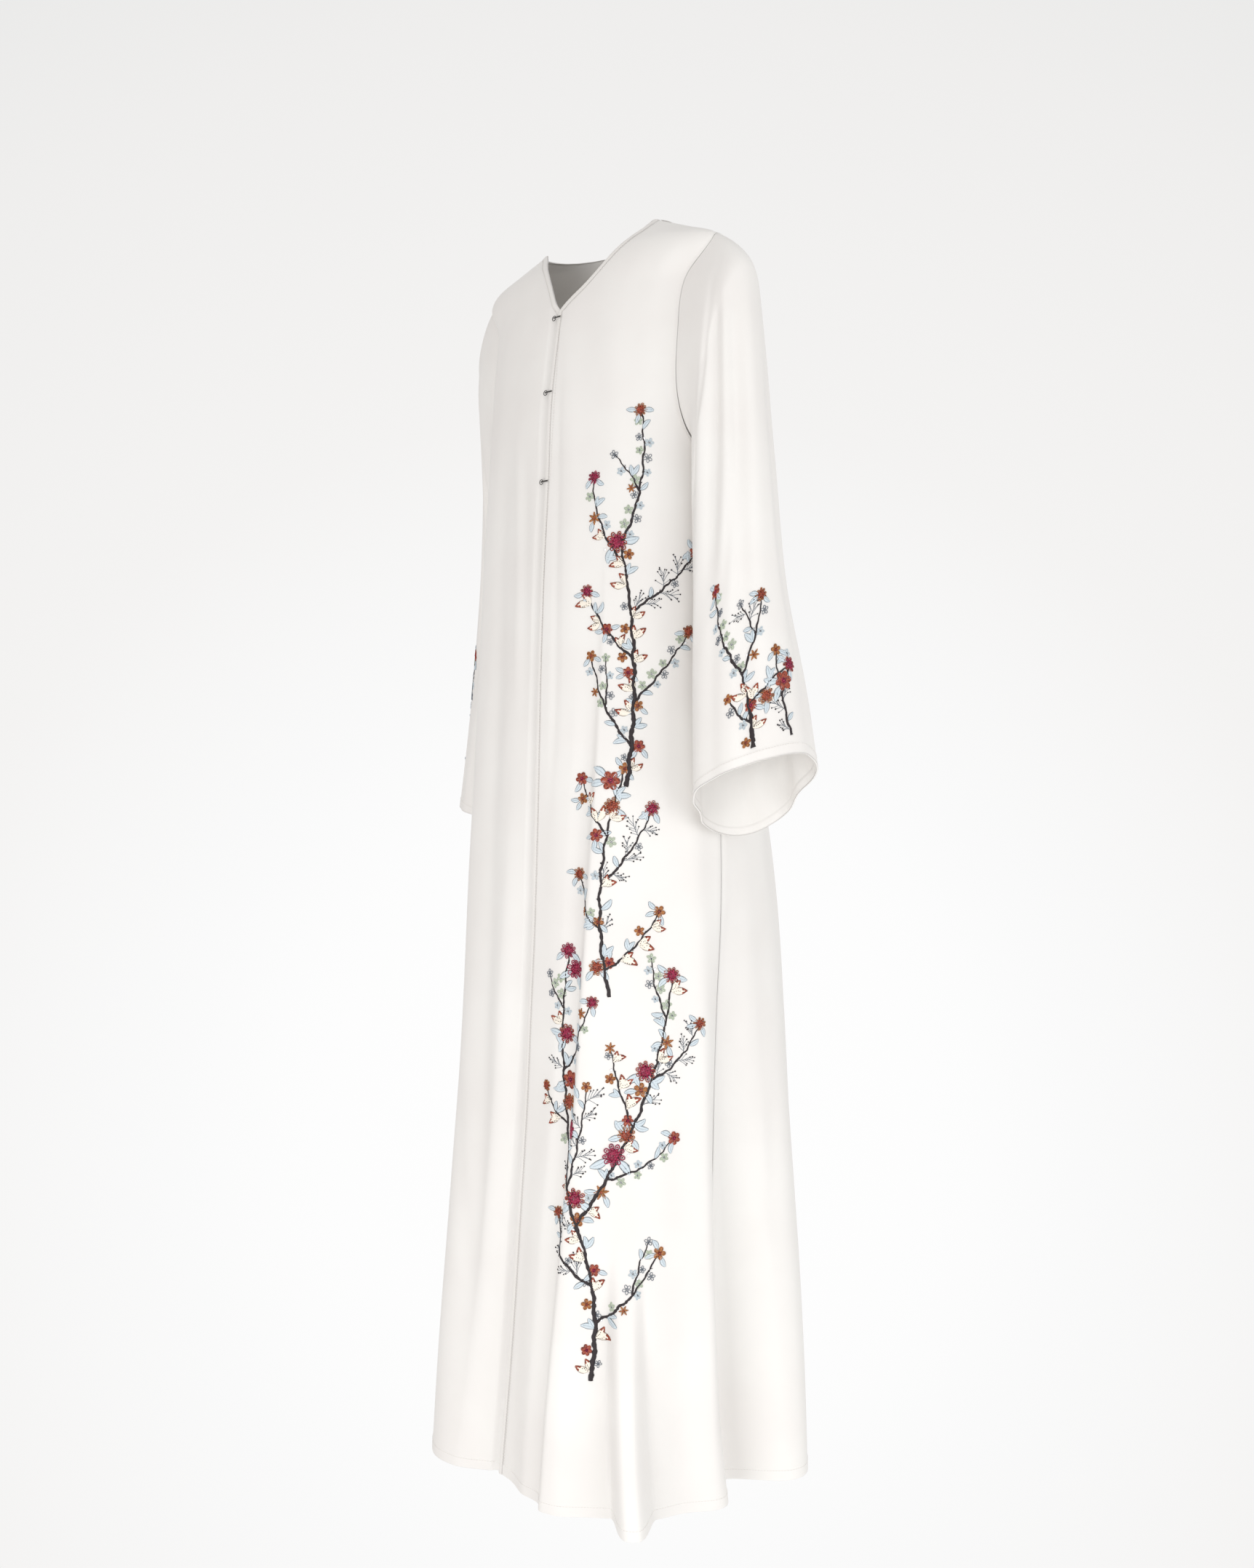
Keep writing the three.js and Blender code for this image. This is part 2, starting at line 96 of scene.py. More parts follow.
def swell(d, before, after, crown=0):
    """cos^2 of a quarter turn: 1 at d = 0, 0 from `before` below it and `after` above it.
    A broad crown reads the share u of the way as u^2 (2 - u), and stays near 1 for longer."""
    u = np.clip(np.abs(d) / np.where(d < 0, before, after), 0, 1)
    return np.cos((u * u * (2 - u) if crown else u) * np.pi / 2) ** 2


def track(t, table):
    """A smooth curve through a table's rows: a cubic between two rows, whose slope at a row
    is the mean of the slopes on its two sides. The first number of a row is where it stands."""
    table = np.asarray(table, float)
    table = table[np.argsort(table[:, 0])]
    x, v = table[:, 0], table[:, 1:]
    slope = np.diff(v, axis=0) / np.diff(x)[:, None]
    m = np.vstack([slope[:1], (slope[1:] + slope[:-1]) / 2, slope[-1:]])
    t = np.clip(np.asarray(t, float), x[0], x[-1])
    i = np.clip(np.searchsorted(x, t, side="right") - 1, 0, len(x) - 2)
    h, u = (x[i + 1] - x[i])[..., None], ((t - x[i]) / (x[i + 1] - x[i]))[..., None]
    out = ((1 + 2 * u) * (1 - u) ** 2 * v[i] + u * (1 - u) ** 2 * h * m[i]
           + u * u * (3 - 2 * u) * v[i + 1] + u * u * (u - 1) * h * m[i + 1])
    return out[..., 0] if table.shape[1] == 2 else out


def quick(table):
    """The same curve as `track`, looked up in 2000 straight steps. It is made once, and is
    then asked for very many points."""
    table = np.asarray(table, float)
    x = np.linspace(table[:, 0].min(), table[:, 0].max(), 2001)
    y = track(x, table)
    if y.ndim == 1:
        return lambda t: np.interp(t, x, y)
    return lambda t: np.stack([np.interp(t, x, column) for column in y.T], -1)


def unit(v):
    """A vector divided by its length."""
    return v / np.maximum(np.linalg.norm(v, axis=-1, keepdims=True), 1e-12)


# %% [markdown]
# ## The body of the robe
# The body is one surface of two numbers: an angle round the wearer, 0 at the centre front
# and 90 at the wearer's left side, and a height. At each height it is half an ellipse in
# front and another behind. Folds are swellings along the surface's own normal: they start
# as nothing, grow on the way down, and drift round as the cloth flares.

# %% Sizes of the body
HEM_Z, TOP_Z, TIP_Z = -1484.0, -10.0, -48.0     # the hem, the neck's top, the shoulder's end
# the turned-up hem, the binding, half the gap at a seam, and how far down the underlap goes
HEM_FOLD, BAND_W, SEAM, UNDER = 12.0, 7.0, 0.15, -4.6
# height, half width, depth to the front, depth to the back, centre y
SECTIONS = [
    (-4, 85, 18, 50, 0), (-14, 109, 26, 56, 0), (-30, 148, 40, 66, 0), (-48, 190, 53, 78, 0),
    (-100, 174, 72, 98, 0), (-160, 173, 82, 108, 0), (-230, 170, 90, 114, 0),
    (-317, 170, 96, 124, 2), (-407, 172, 105, 138, 5), (-496, 175, 113, 153, 8),
    (-585, 177, 121, 170, 11), (-673, 180, 129, 188, 14), (-764, 182, 137, 208, 17),
    (-853, 183, 144, 221, 20), (-943, 184, 150, 228, 22), (-1032, 186, 156, 231, 24),
    (-1211, 193, 171, 233, 25), (-1390, 204, 183, 227, 25), (-1484, 214, 187, 213, 25)]
# angle at its top, angle at the hem, top z, z where it is full, height, width before, after,
# and 1 where its crown is broad and round
FOLDS = [
    (-50, -34, -150, -1484, 22, 34, 20), (-62, -54, -60, -420, 10, 40, 40),
    (2, -10, -420, -1484, -28, 14, 30), (34, 18, -330, -900, 10, 3.5, 24),
    (28, 12, -330, -900, -5, 7, 7), (45, 47, -1150, -1484, 50, 7.5, 7.5, 1),
    (66, 66, -900, -1484, -9, 14, 14), (92, 95, -650, -1484, -52, 17, 14),
    (118, 114, -600, -1484, 26, 14, 24), (150, 148, -600, -1484, -22, 16, 16),
    (176, 178, -600, -1484, 14, 20, 20), (-152, -150, -650, -1484, -24, 16, 16),
    (-122, -120, -600, -1484, 20, 22, 20), (-92, -88, -600, -1484, -30, 16, 16)]
# Soft creases: a line of (z, angle), its height in mm, and its width in mm.
CREASES = [
    ([(-140, 5), (-197, 6.5), (-301, 7.5), (-404, 8.8), (-523, 10.2), (-607, 10.5),
      (-740, 8.0)], -1.7, 6),
    ([(-150, 13), (-301, 14.5), (-480, 17), (-640, 17.5)], 1.5, 14),
    ([(-110, 29), (-209, 33.5), (-276, 35), (-380, 34)], 1.8, 17),
    ([(-420, 52), (-600, 50), (-800, 49), (-1000, 47)], -2.0, 24),
    ([(-650, 62), (-860, 60), (-1100, 56), (-1300, 55)], 2.2, 22),
    ([(-950, 38), (-1120, 36), (-1300, 34.5), (-1484, 33)], -2.4, 20),
    ([(-1050, 27), (-1250, 25.5), (-1484, 24)], 2.4, 14),
    ([(-230, -21), (-330, -17), (-458, -13.5), (-600, -12)], 1.3, 9),
    ([(-250, -14.5), (-459, -8.2), (-640, -6)], -1.3, 10),
    ([(-180, -36), (-420, -30), (-700, -27), (-900, -27)], -1.8, 16),
    ([(-1000, -41), (-1102, -36.8), (-1217, -27.8), (-1330, -23)], -1.6, 12),
    ([(-760, -20), (-1000, -19), (-1484, -17)], 1.6, 16),
    ([(-560, -64), (-900, -60), (-1484, -58)], -2.4, 22),
    ([(-760, 96), (-900, 91), (-1012, 90), (-1142, 87), (-1270, 84), (-1484, 79)], -2.2, 10),
    ([(-960, 96), (-1083, 98), (-1205, 105), (-1300, 107)], 1.6, 9),
    ([(-1000, 112), (-1120, 109), (-1206, 107), (-1332, 106)], -1.6, 12),
    ([(-300, 128), (-600, 131), (-1000, 133), (-1484, 134)], 2.6, 20),
    ([(-420, 142), (-800, 140), (-1484, 141)], -2.2, 17),
    ([(-150, 158), (-400, 162), (-900, 164), (-1484, 166)], 2.2, 20),
    ([(-60, 180), (-300, 181), (-620, 184), (-1000, 186)], -1.6, 24),
    ([(-500, 196), (-900, 197), (-1484, 196)], -2.4, 18),
    ([(-150, 206), (-420, 203), (-900, 221), (-1484, 224)], 2.2, 20),
    ([(-380, 235), (-900, 232), (-1484, 234)], -2.4, 18),
    ([(-600, 252), (-1000, 254), (-1484, 252)], 2.4, 16)]


section = quick(SECTIONS)
CREASE_LINES = [(quick(line), line[0][0], line[-1][0], height, width)
                for line, height, width in CREASES]


def ellipse_mm(phi, z):
    """Millimetres per degree round the plain ellipse: hypot(a cos, d sin) times pi / 180."""
    s = section(z)
    r = np.radians(phi)
    depth = np.where(np.cos(r) > 0, s[..., 1], s[..., 2])
    return np.hypot(s[..., 0] * np.cos(r), depth * np.sin(r)) * np.pi / 180


def creases(phi, z):
    """Sum of soft creases: each is height times exp(-(distance / width)^2) from its line,
    faded in over its first fifth and out over its last, unless it runs off the hem."""
    scale, out = ellipse_mm(phi, z), np.zeros_like(phi)
    for line, top, low, height, width in CREASE_LINES:
        run = (top - z) / (top - low)
        fade = smooth(0, 0.25, run) * (1 if low <= HEM_Z else 1 - smooth(0.7, 1, run))
        d = wrap(phi - line(z)) * scale / width
        out = out + height * fade * np.exp(-d * d)
    slack = smooth(-250, -900, z)
    lazy = (np.sin(phi * 0.21 + z * 0.004 + 1.3) * np.sin(phi * 0.083 - z * 0.0031)
            + 0.6 * np.sin(phi * 0.37 - z * 0.0072 + 0.5) * np.sin(z * 0.0113 + phi * 0.05))
    return out + lazy * mix(0.35, 1.0, slack)


def body(phi, z):
    """A point of the body: (a sin, centre - depth cos, z) of the angle, moved along the
    ellipse's normal by the sum of the folds and creases at that place."""
    phi, z = np.broadcast_arrays(np.asarray(phi, float), np.asarray(z, float))
    s, r = section(z), np.radians(phi)
    depth = np.where(np.cos(r) > 0, s[..., 1], s[..., 2])
    nx, ny = np.sin(r) / s[..., 0], -np.cos(r) / depth
    n = np.hypot(nx, ny)
    out = creases(phi, z)
    for a0, a1, z_top, z_full, height, before, after, *crown in FOLDS:
        k = np.clip((z_top - z) / (z_top - HEM_Z), 0, 1) ** 1.5
        out = out + height * smooth(z_top, z_full, z) * swell(
            wrap(phi - mix(a0, a1, k)), before, after, *crown)
    return np.stack([s[..., 0] * np.sin(r) + nx / n * out,
                     s[..., 3] - depth * np.cos(r) + ny / n * out, z], -1)


def per_degree(phi, z):
    """Millimetres of cloth in one degree here."""
    return np.linalg.norm(body(phi + 0.5, z) - body(phi - 0.5, z), axis=-1)


def per_level(phi, z):
    """Millimetres of cloth in one millimetre of height here."""
    return np.linalg.norm(body(phi, z + 0.5) - body(phi, z - 0.5), axis=-1)


def body_out(phi, z, off):
    """The body's point moved off it by `off`, along the cross product of its two slopes."""
    phi, z = np.broadcast_arrays(np.asarray(phi, float), np.asarray(z, float))
    n = unit(np.cross(body(phi + 0.3, z) - body(phi - 0.3, z),
                      body(phi, z + 0.8) - body(phi, z - 0.8)))
    return body(phi, z) + n * np.asarray(off)[..., None]


print("hem round the body, m:",
      round(float(np.sum(per_degree(np.arange(360.0), HEM_Z + 2.0))) * MM, 3))

# %% [markdown]
# ## Edges: neckline, front edges, armholes and side seams
# Each edge is a curve on that surface. The left front lies over the right one, so the
# right front's edge is drawn a little further and dips beneath.

# %% Edges on the surface
# the armhole's middle and half height, its reach in degrees before and behind the seam, and
# the power of its oval; then (height, x) of the necklines, (height, angle) of the left edge
# and (height, mm) of the overlap
ARM_MID, ARM_HALF, ARM_FRONT, ARM_BACK, ARM_POWER = -168.5, 120.5, 24.0, 20.0, 2.4
ARM_BOTTOM = ARM_MID - ARM_HALF
NECKLINE_LEFT = [(TOP_Z, 95), (-23, 96), (-36, 87), (-53, 72), (-72, 55), (-90, 35),
                 (-98, 23.5), (-107, 11.5), (-113, 5)]
NECKLINE_RIGHT = [(TOP_Z, -84), (-18, -72), (-27, -60), (-38, -49), (-48, -40), (-59, -31),
                  (-77, -18), (-98, -5), (-107, 1), (-113, 4.7)]
LEFT_EDGE = [(-113, 1.6), (-211, 0.8), (-500, 0.5), (-675, 0.8), (-845, -0.3),
             (-1016, -3.3), (-1187, -6.2), (-1358, -8.8), (-1484, -11.2)]
OVERLAP = [(-113, 2), (-120, 7), (-135, 11), (-400, 12), (-1000, 14), (-1484, 16)]
NECK_END = -113


def section_angle(x, z):
    """The angle whose sine is x over the half width at this height."""
    return np.degrees(np.arcsin(np.clip(x / section(z)[..., 0], -1, 1)))


def left_edge(z):
    """The left front's edge: the neckline's x above its end, a table of angles below."""
    return np.where(z > NECK_END, section_angle(track(z, NECKLINE_LEFT), z),
                    track(z, LEFT_EDGE))


def right_edge(z):
    """The right front's edge: its own neckline, then the left edge plus the overlap."""
    return np.where(
        z > NECK_END,
        section_angle(track(z, NECKLINE_RIGHT), z) + 0.7 * smooth(-107, NECK_END, z),
        track(z, LEFT_EDGE) + track(z, OVERLAP) / per_degree(0.0, z))


def arm_angle(z, reach):
    """The armhole's edge: an oval |x|^p + |z|^p = 1 laid on the surface round 90 degrees."""
    t = np.clip(np.abs((z - ARM_MID) / ARM_HALF), 0, 1)
    return 90 + reach * (1 - t ** ARM_POWER) ** (1 / ARM_POWER)


def side_angle(z, front):
    """Where a panel ends at the side: the shoulder or side seam, or the armhole."""
    s = -1 if front else 1
    seam = 90 + s * SEAM / per_degree(90.0 + 2 * s, z)
    arm = arm_angle(z, -ARM_FRONT if front else ARM_BACK)
    return np.where((z < TIP_Z - 0.01) & (z > ARM_BOTTOM + 0.01), arm, seam)


def beside(edge, z, w, sign):
    """The point w mm from the edge, at right angles to it on the surface."""
    k, m = per_degree(edge(z), z), per_level(edge(z), z)
    tx, tz = (edge(z - 0.5) - edge(z + 0.5)) * k, -m
    n = np.hypot(tx, tz)
    return edge(z) + sign * w * (-tz / n) / k, z + sign * w * (tx / n) / m


# %% [markdown]
# ## Meshes from grids
# A panel is a grid of points for its face and another for its back, joined round the rim,
# so that the cloth has a thickness and no open edge. The same function makes the tubes of
# the sleeves, by joining the last column to the first.

# %% Grid to mesh
def mesh_object(name, points, faces):
    """A smooth-shaded piece from points in mm and faces; it rides on the root body."""
    mesh = bpy.data.meshes.new(name)
    mesh.from_pydata((np.asarray(points) * MM).tolist(), [], faces)
    mesh.update()
    mesh.polygons.foreach_set("use_smooth", np.full(len(mesh.polygons), True))
    piece = bpy.data.objects.new(name, mesh)
    bpy.context.scene.collection.objects.link(piece)
    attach(piece, "root")
    return piece


def quads(rows, cols, around, start=0):
    """The faces between neighbours of a grid of points, row after row."""
    i, j = np.meshgrid(np.arange(rows - 1), np.arange(cols if around else cols - 1),
                       indexing="ij")
    k = (j + 1) % cols
    return start + np.stack([i * cols + j, (i + 1) * cols + j,
                             (i + 1) * cols + k, i * cols + k], -1).reshape(-1, 4)


def rim(outer, inner):
    """The faces between two lines of points, one on each side of the cloth."""
    return np.stack([outer[:-1], outer[1:], inner[1:], inner[:-1]], -1)


def shell(name, outer, inner, around=False):
    """A closed piece of cloth from the grids of its two sides. If the volume that its faces
    enclose comes out negative, every face is turned round."""
    rows, cols = outer.shape[:2]
    n = rows * cols
    index = np.arange(n).reshape(rows, cols)
    if around:
        index = np.hstack([index, index[:, :1]])
    faces = [quads(rows, cols, around), quads(rows, cols, around, n)[:, ::-1],
             rim(index[0], index[0] + n)[:, ::-1], rim(index[-1], index[-1] + n)]
    if not around:
        faces += [rim(index[:, 0], index[:, 0] + n), rim(index[:, -1], index[:, -1] + n)[:, ::-1]]
    faces = np.vstack(faces)
    points = np.vstack([outer.reshape(-1, 3), inner.reshape(-1, 3)])
    a, b, c, d = (points[faces[:, k]] for k in range(4))
    volume = np.sum(np.einsum("ij,ij->i", a, np.cross(b, c) + np.cross(c, d)))
    if volume < 0:
        faces = faces[:, ::-1]
    piece = mesh_object(name, points, faces.tolist())
    print(name, "faces", len(faces), "cloth seen, m2", round(cloth_area(outer), 3))
    return piece


def cloth_area(grid):
    """Half the length of the cross product of each quad's diagonals, summed, in m2."""
    d1, d2 = grid[1:, 1:] - grid[:-1, :-1], grid[1:, :-1] - grid[:-1, 1:]
    return float(np.linalg.norm(np.cross(d1, d2), axis=-1).sum()) / 2 * MM * MM


# %% [markdown]
# ## Panels
# Rows are close together at the neck and armhole, where the edges curve, and at the hem,
# where 12 mm of cloth is turned up and sewn. Columns crowd where the front has its pleat.

# %% Rows and columns
def between(table, parts):
    """Each step of a list cut into `parts` equal steps."""
    table = np.asarray(table, float)
    at = np.linspace(0, len(table) - 1, (len(table) - 1) * parts + 1)
    return np.stack([np.interp(at, np.arange(len(table)), table[:, k])
                     for k in range(table.shape[1])], -1)


ARM_STEPS = np.arange(3.0, 180.0, 3.0)      # degrees round the armhole
HEM_ROWS = HEM_Z + np.array([13.5, 12.8, 12.2, 11.6, 10.5, 8, 5, 2, 0.6, 0])
ROWS = np.concatenate([
    np.linspace(TOP_Z, TIP_Z, 20), ARM_MID + ARM_HALF * np.cos(np.radians(ARM_STEPS)),
    np.linspace(ARM_BOTTOM, HEM_Z + 15, 236), HEM_ROWS])
LEFT_COLUMNS = between([
    (6.5, -5), (12, 1.5), (18, 7), (24, 12), (30.5, 15.6), (34, 18), (38, 21.5), (42.5, 27.5),
    (47, 34), (50.5, 39.5), (53.5, 42), (56, 44.5), (58.5, 47), (61, 49.5), (63.5, 52),
    (66, 54.5), (70.5, 61), (76, 70), (81, 79), (85.5, 85), (90, 90)], 5)
RIGHT_COLUMNS = between([
    (-1, -12.4), (-4.5, -15), (-9, -17.5), (-14, -20), (-20, -23.5), (-26, -27.5), (-32, -32),
    (-38.5, -38), (-45, -45), (-52, -53), (-59, -61), (-67, -69), (-75, -76), (-82.5, -83),
    (-90, -90)], 6)
BACK_COLUMNS = between([
    (90, 90), (94, 93.5), (98, 98), (103, 102.5), (109, 108), (116, 114), (123, 120),
    (130, 127), (137, 134), (144, 141), (151, 148), (158, 155), (165, 162), (172, 170),
    (180, 178), (188, 186), (195, 195), (202, 203), (209, 210), (216, 217), (224, 225),
    (232, 233), (241, 242), (250, 251), (260, 261), (270, 270)], 5)
FLARE_TOP = -330.0
print(len(ROWS), "rows")


def shares(columns, start_top, start_hem):
    """How far across each column stands: its share at the flare's top and at the hem,
    mixed by (how far down)^1.5."""
    top = (columns[:, 0] - start_top) / (columns[-1, 0] - start_top)
    hem = (columns[:, 1] - start_hem) / (columns[-1, 1] - start_hem)
    return lambda z: mix(top, hem, (np.clip((FLARE_TOP - z) / (FLARE_TOP - HEM_Z), 0, 1)
                                    ** 1.5)[:, None])


BAND_ACROSS = np.linspace(0, BAND_W, 5)


def front_grid(edge, columns, sign):
    """(angle, height) of every point of a front: five columns under the binding, and the
    rest spread from there to the side seam or armhole."""
    def start(z):
        """The angle of the binding's inner side at this height."""
        return float(edge(np.array(z)) + sign * BAND_W / per_degree(edge(np.array(z)), z))
    phi, z = beside(edge, ROWS[:, None], BAND_ACROSS[None, :], sign)
    z = np.maximum(z, HEM_Z)
    s = shares(columns, start(FLARE_TOP), start(HEM_Z))(ROWS)
    end = sign * side_angle(ROWS, True)[:, None]
    return (np.hstack([phi, mix(phi[:, -1:], end, s)]),
            np.hstack([z, mix(z[:, -1:], ROWS[:, None], s)]))


TURN_UP = 0.45                      # mm that turned-up cloth adds on each side
SEAM_PULL, SEAM_REACH = 1.1, 2.6    # mm


def hem_thickness(z):
    """Extra thickness of the turned-up hem, with a soft step at its stitched top."""
    return TURN_UP * smooth(HEM_Z + HEM_FOLD + 0.9, HEM_Z + HEM_FOLD - 0.6, z)


def seam_roll(phi, z, front):
    """Cloth is drawn in at its seam: the pull times exp(-(distance / reach)^2)."""
    side = side_angle(z, front)
    d = np.abs(np.abs(wrap(phi)) - (side if front else np.where(side > 180, 360 - side, side)))
    return -SEAM_PULL * np.exp(-(d * ellipse_mm(90.0, z) / SEAM_REACH) ** 2)


def dip(phi, z):
    """How far the right front goes down beneath the left one, near the left one's edge."""
    gap = (left_edge(np.maximum(z, HEM_Z)) - phi) * per_degree(phi, z)
    return UNDER * (1 - smooth(3.5, 15, gap))


CLOTH = 1.0      # thickness drawn, mm


def panel(name, phi, z, off=0.0, front=True):
    """A panel's face lies on the surface and its back one cloth's thickness below it."""
    off = off + seam_roll(phi, z, front)
    return shell(name, body_out(phi, z, off + hem_thickness(z)),
                 body_out(phi, z, off - CLOTH - hem_thickness(z)))


# %% Fronts and back
left_phi, left_z = front_grid(left_edge, LEFT_COLUMNS, 1)
right_phi, right_z = front_grid(right_edge, RIGHT_COLUMNS, -1)
front_left = panel("left_front", left_phi, left_z)
front_right = panel("right_front", right_phi, right_z, dip(right_phi, right_z))

back_top = TOP_Z - BAND_ACROSS
back_share = shares(BACK_COLUMNS, 90, 90)
back_rows = np.concatenate([back_top, ROWS[ROWS < TOP_Z - BAND_W - 1]])
side = side_angle(back_rows, False)[:, None]
back_phi = mix(side, 360 - side, back_share(back_rows))
back_z = np.broadcast_to(back_rows[:, None], back_phi.shape)
back = panel("back_panel", back_phi, back_z, front=False)

# %% [markdown]
# ## Binding
# A narrow strip of the same cloth is folded over the raw edge and stitched down. It stands
# a little above the panel and is rounded at its two sides.

# %% Binding strips
BINDING_HIGH, BINDING_LOW = 0.95, 0.04      # mm above the panel
BINDING_CROWN = np.array([0.25, 0.92, 1.0, 0.92, 0.25])


def binding(name, phi, z, off=0.0):
    """A strip of five columns, highest in its middle and low at its two sides."""
    off = off + hem_thickness(z)
    return shell(name, body_out(phi, z, off + BINDING_HIGH * BINDING_CROWN),
                 body_out(phi, z, off + BINDING_LOW))


band_left = binding("left_binding", left_phi[:, :5], left_z[:, :5])
band_right = binding("right_binding", right_phi[:, :5], right_z[:, :5],
                     dip(right_phi[:, :5], right_z[:, :5]))
neckband = binding("neck_binding", back_phi[:5].T, back_z[:5].T)

# %% [markdown]
# ## Sleeves
# Each sleeve is a tube from the armhole's oval to a wide cuff. Its centre, width and depth
# come from rings down its length, and its edge hangs lower behind than in front. Creases
# run down from the shoulder tip, because the cloth hangs from there.

# %% Sleeve surface
SLEEVE_LEFT = {
    "side": 1, "cuff": (-655, -650, -695, -729), "turn": -45,
    "rings": [(0, 202, -4, 30, 43), (0.1, 207, -5, 35, 44), (0.385, 218, -8, 44, 47),
              (0.65, 233, -14, 50, 54), (0.853, 246, -12, 58, 67), (1, 259, -18, 64, 72)],
    "folds": [(58, 96, 0.02, 0.12, 0.45, 0.8, -7, 16), (84, 122, 0.04, 0.2, 0.5, 0.9, 5, 18),
              (28, 52, 0.05, 0.3, 0.8, 1.3, -4, 16), (120, 150, 0.2, 0.5, 1.2, 1.6, -6, 20),
              (-30, -20, 0.1, 0.4, 0.9, 1.5, -3, 20), (-75, -80, 0.15, 0.5, 1.1, 1.6, -8, 20),
              (-130, -125, 0.3, 0.7, 1.2, 1.6, -7, 20)],
    "creases": [([(0.02, 15), (0.044, 48), (0.066, 71), (0.124, 84), (0.188, 96),
                  (0.228, 112), (0.3, 124)], -2.6, 7),
                ([(0.03, 22), (0.12, 34), (0.234, 42), (0.442, 46), (0.588, 62),
                  (0.736, 80), (1.0, 88)], -1.8, 9),
                ([(0.05, 5), (0.3, 14), (0.6, 22), (0.95, 26)], 1.6, 11),
                ([(0.3, 70), (0.5, 74), (0.75, 100), (1.05, 112)], 1.8, 11),
                ([(0.08, -45), (0.4, -48), (0.8, -52), (1.05, -50)], 2.0, 12),
                ([(0.05, -100), (0.4, -104), (0.9, -100)], -2.0, 12)]}
SLEEVE_RIGHT = {
    "side": -1, "cuff": (-700, -712, -722, -730), "turn": 0,
    "rings": [(0, 202, 12, 30, 42), (0.1, 205, 24, 33, 42), (0.385, 217, 43, 39, 43),
              (0.65, 229, 50, 44, 49), (0.853, 239, 53, 50, 57), (1, 250, 55, 54, 62)],
    "folds": [(50, 80, 0.02, 0.15, 0.5, 0.9, -6, 16), (82, 108, 0.05, 0.3, 0.7, 1.2, 4, 16),
              (20, 34, 0.1, 0.4, 0.9, 1.5, -5, 16), (125, 140, 0.25, 0.6, 1.2, 1.6, -7, 20),
              (-35, -40, 0.1, 0.5, 1.1, 1.6, -6, 20), (-85, -90, 0.1, 0.5, 1.1, 1.6, -7, 20),
              (-132, -130, 0.3, 0.7, 1.2, 1.6, -6, 20)],
    "creases": [([(0.02, 20), (0.06, 62), (0.15, 82), (0.25, 100), (0.34, 116)], -2.2, 7),
                ([(0.03, 18), (0.25, 36), (0.5, 46), (0.8, 60), (1.05, 66)], -1.8, 10),
                ([(0.1, -10), (0.5, -6), (1.05, 0)], 1.8, 12),
                ([(0.08, -60), (0.5, -62), (1.05, -60)], 2.0, 12)]}


for s in (SLEEVE_LEFT, SLEEVE_RIGHT):
    s["ring"] = quick(s["rings"])
    s["lines"] = [(quick(line), line[0][0], line[-1][0], height, width)
                  for line, height, width in s["creases"]]
# how a sleeve begins: degrees and mm within the armhole's edge, mm above the body, and the
# share of its length in which the armhole's oval turns into its own rings
ARM_GAP, ARM_INSET, ARM_LIFT, ARM_BLEND = 0.16, 0.35, 0.3, 0.085


def sleeve_edge(z, forward):
    """The angle of the sleeve's edge in the armhole, before the seam where forward >= 0."""
    return arm_angle(z, np.where(forward >= 0, -(ARM_FRONT - ARM_GAP), ARM_BACK - ARM_GAP))


def sleeve_point(s, theta, t):
    """Angle round the sleeve (0 outside, 90 in front) and share of its length to a point:
    the armhole's oval at t = 0 soon turns into an ellipse with folds."""
    theta, t = np.broadcast_arrays(np.asarray(theta, float), np.asarray(t, float))
    c, n = np.cos(np.radians(theta)), np.sin(np.radians(theta))
    z0 = ARM_MID + ARM_HALF * c
    phi = sleeve_edge(z0, n)
    z_arm = ARM_MID + (z0 - ARM_MID) * (ARM_HALF - ARM_INSET) / ARM_HALF
    start = body_out(s["side"] * phi, z_arm, ARM_LIFT)
    outside, before, inside, behind = s["cuff"]
    q = np.radians(theta - s["turn"])
    z_cuff = ((outside + before + inside + behind) / 4 + (outside - inside) / 2 * np.cos(q)
              + (before - behind) / 2 * np.sin(q)
              + (outside + inside - before - behind) / 4 * np.cos(2 * q))
    out = np.zeros_like(t)
    for a0, a1, t0, t1, t2, t3, height, width in s["folds"]:
        out += (height * smooth(t0, t1, t) * (1 - smooth(t2, t3, t))
                * swell(wrap(theta - mix(a0, a1, t)), width, width))
    for line, low, high, height, width in s["lines"]:
        run = (t - low) / (high - low)
        fade = smooth(0, 0.2, run) * (1 - smooth(0.75, 1, run) * (high < 1))
        out += height * fade * np.exp(-(wrap(theta - line(t)) / width) ** 2)
    out += 0.5 * smooth(0.1, 0.4, t) * np.sin(theta * 0.06 + t * 9) * np.sin(theta * 0.1 - t * 5)
    ring = s["ring"](t)
    g = 1 - (1 - np.clip(t / ARM_BLEND, 0, 1)) ** 2
    drop = t * mix(1, smooth(0, 0.1, t), (1 - c) / 2)
    return np.stack([
        mix(start[..., 0], s["side"] * (ring[..., 0] + (ring[..., 2] + out) * c), g),
        mix(start[..., 1], ring[..., 1] - (ring[..., 3] + out) * n, g),
        mix(z_arm, z_cuff, drop)], -1)


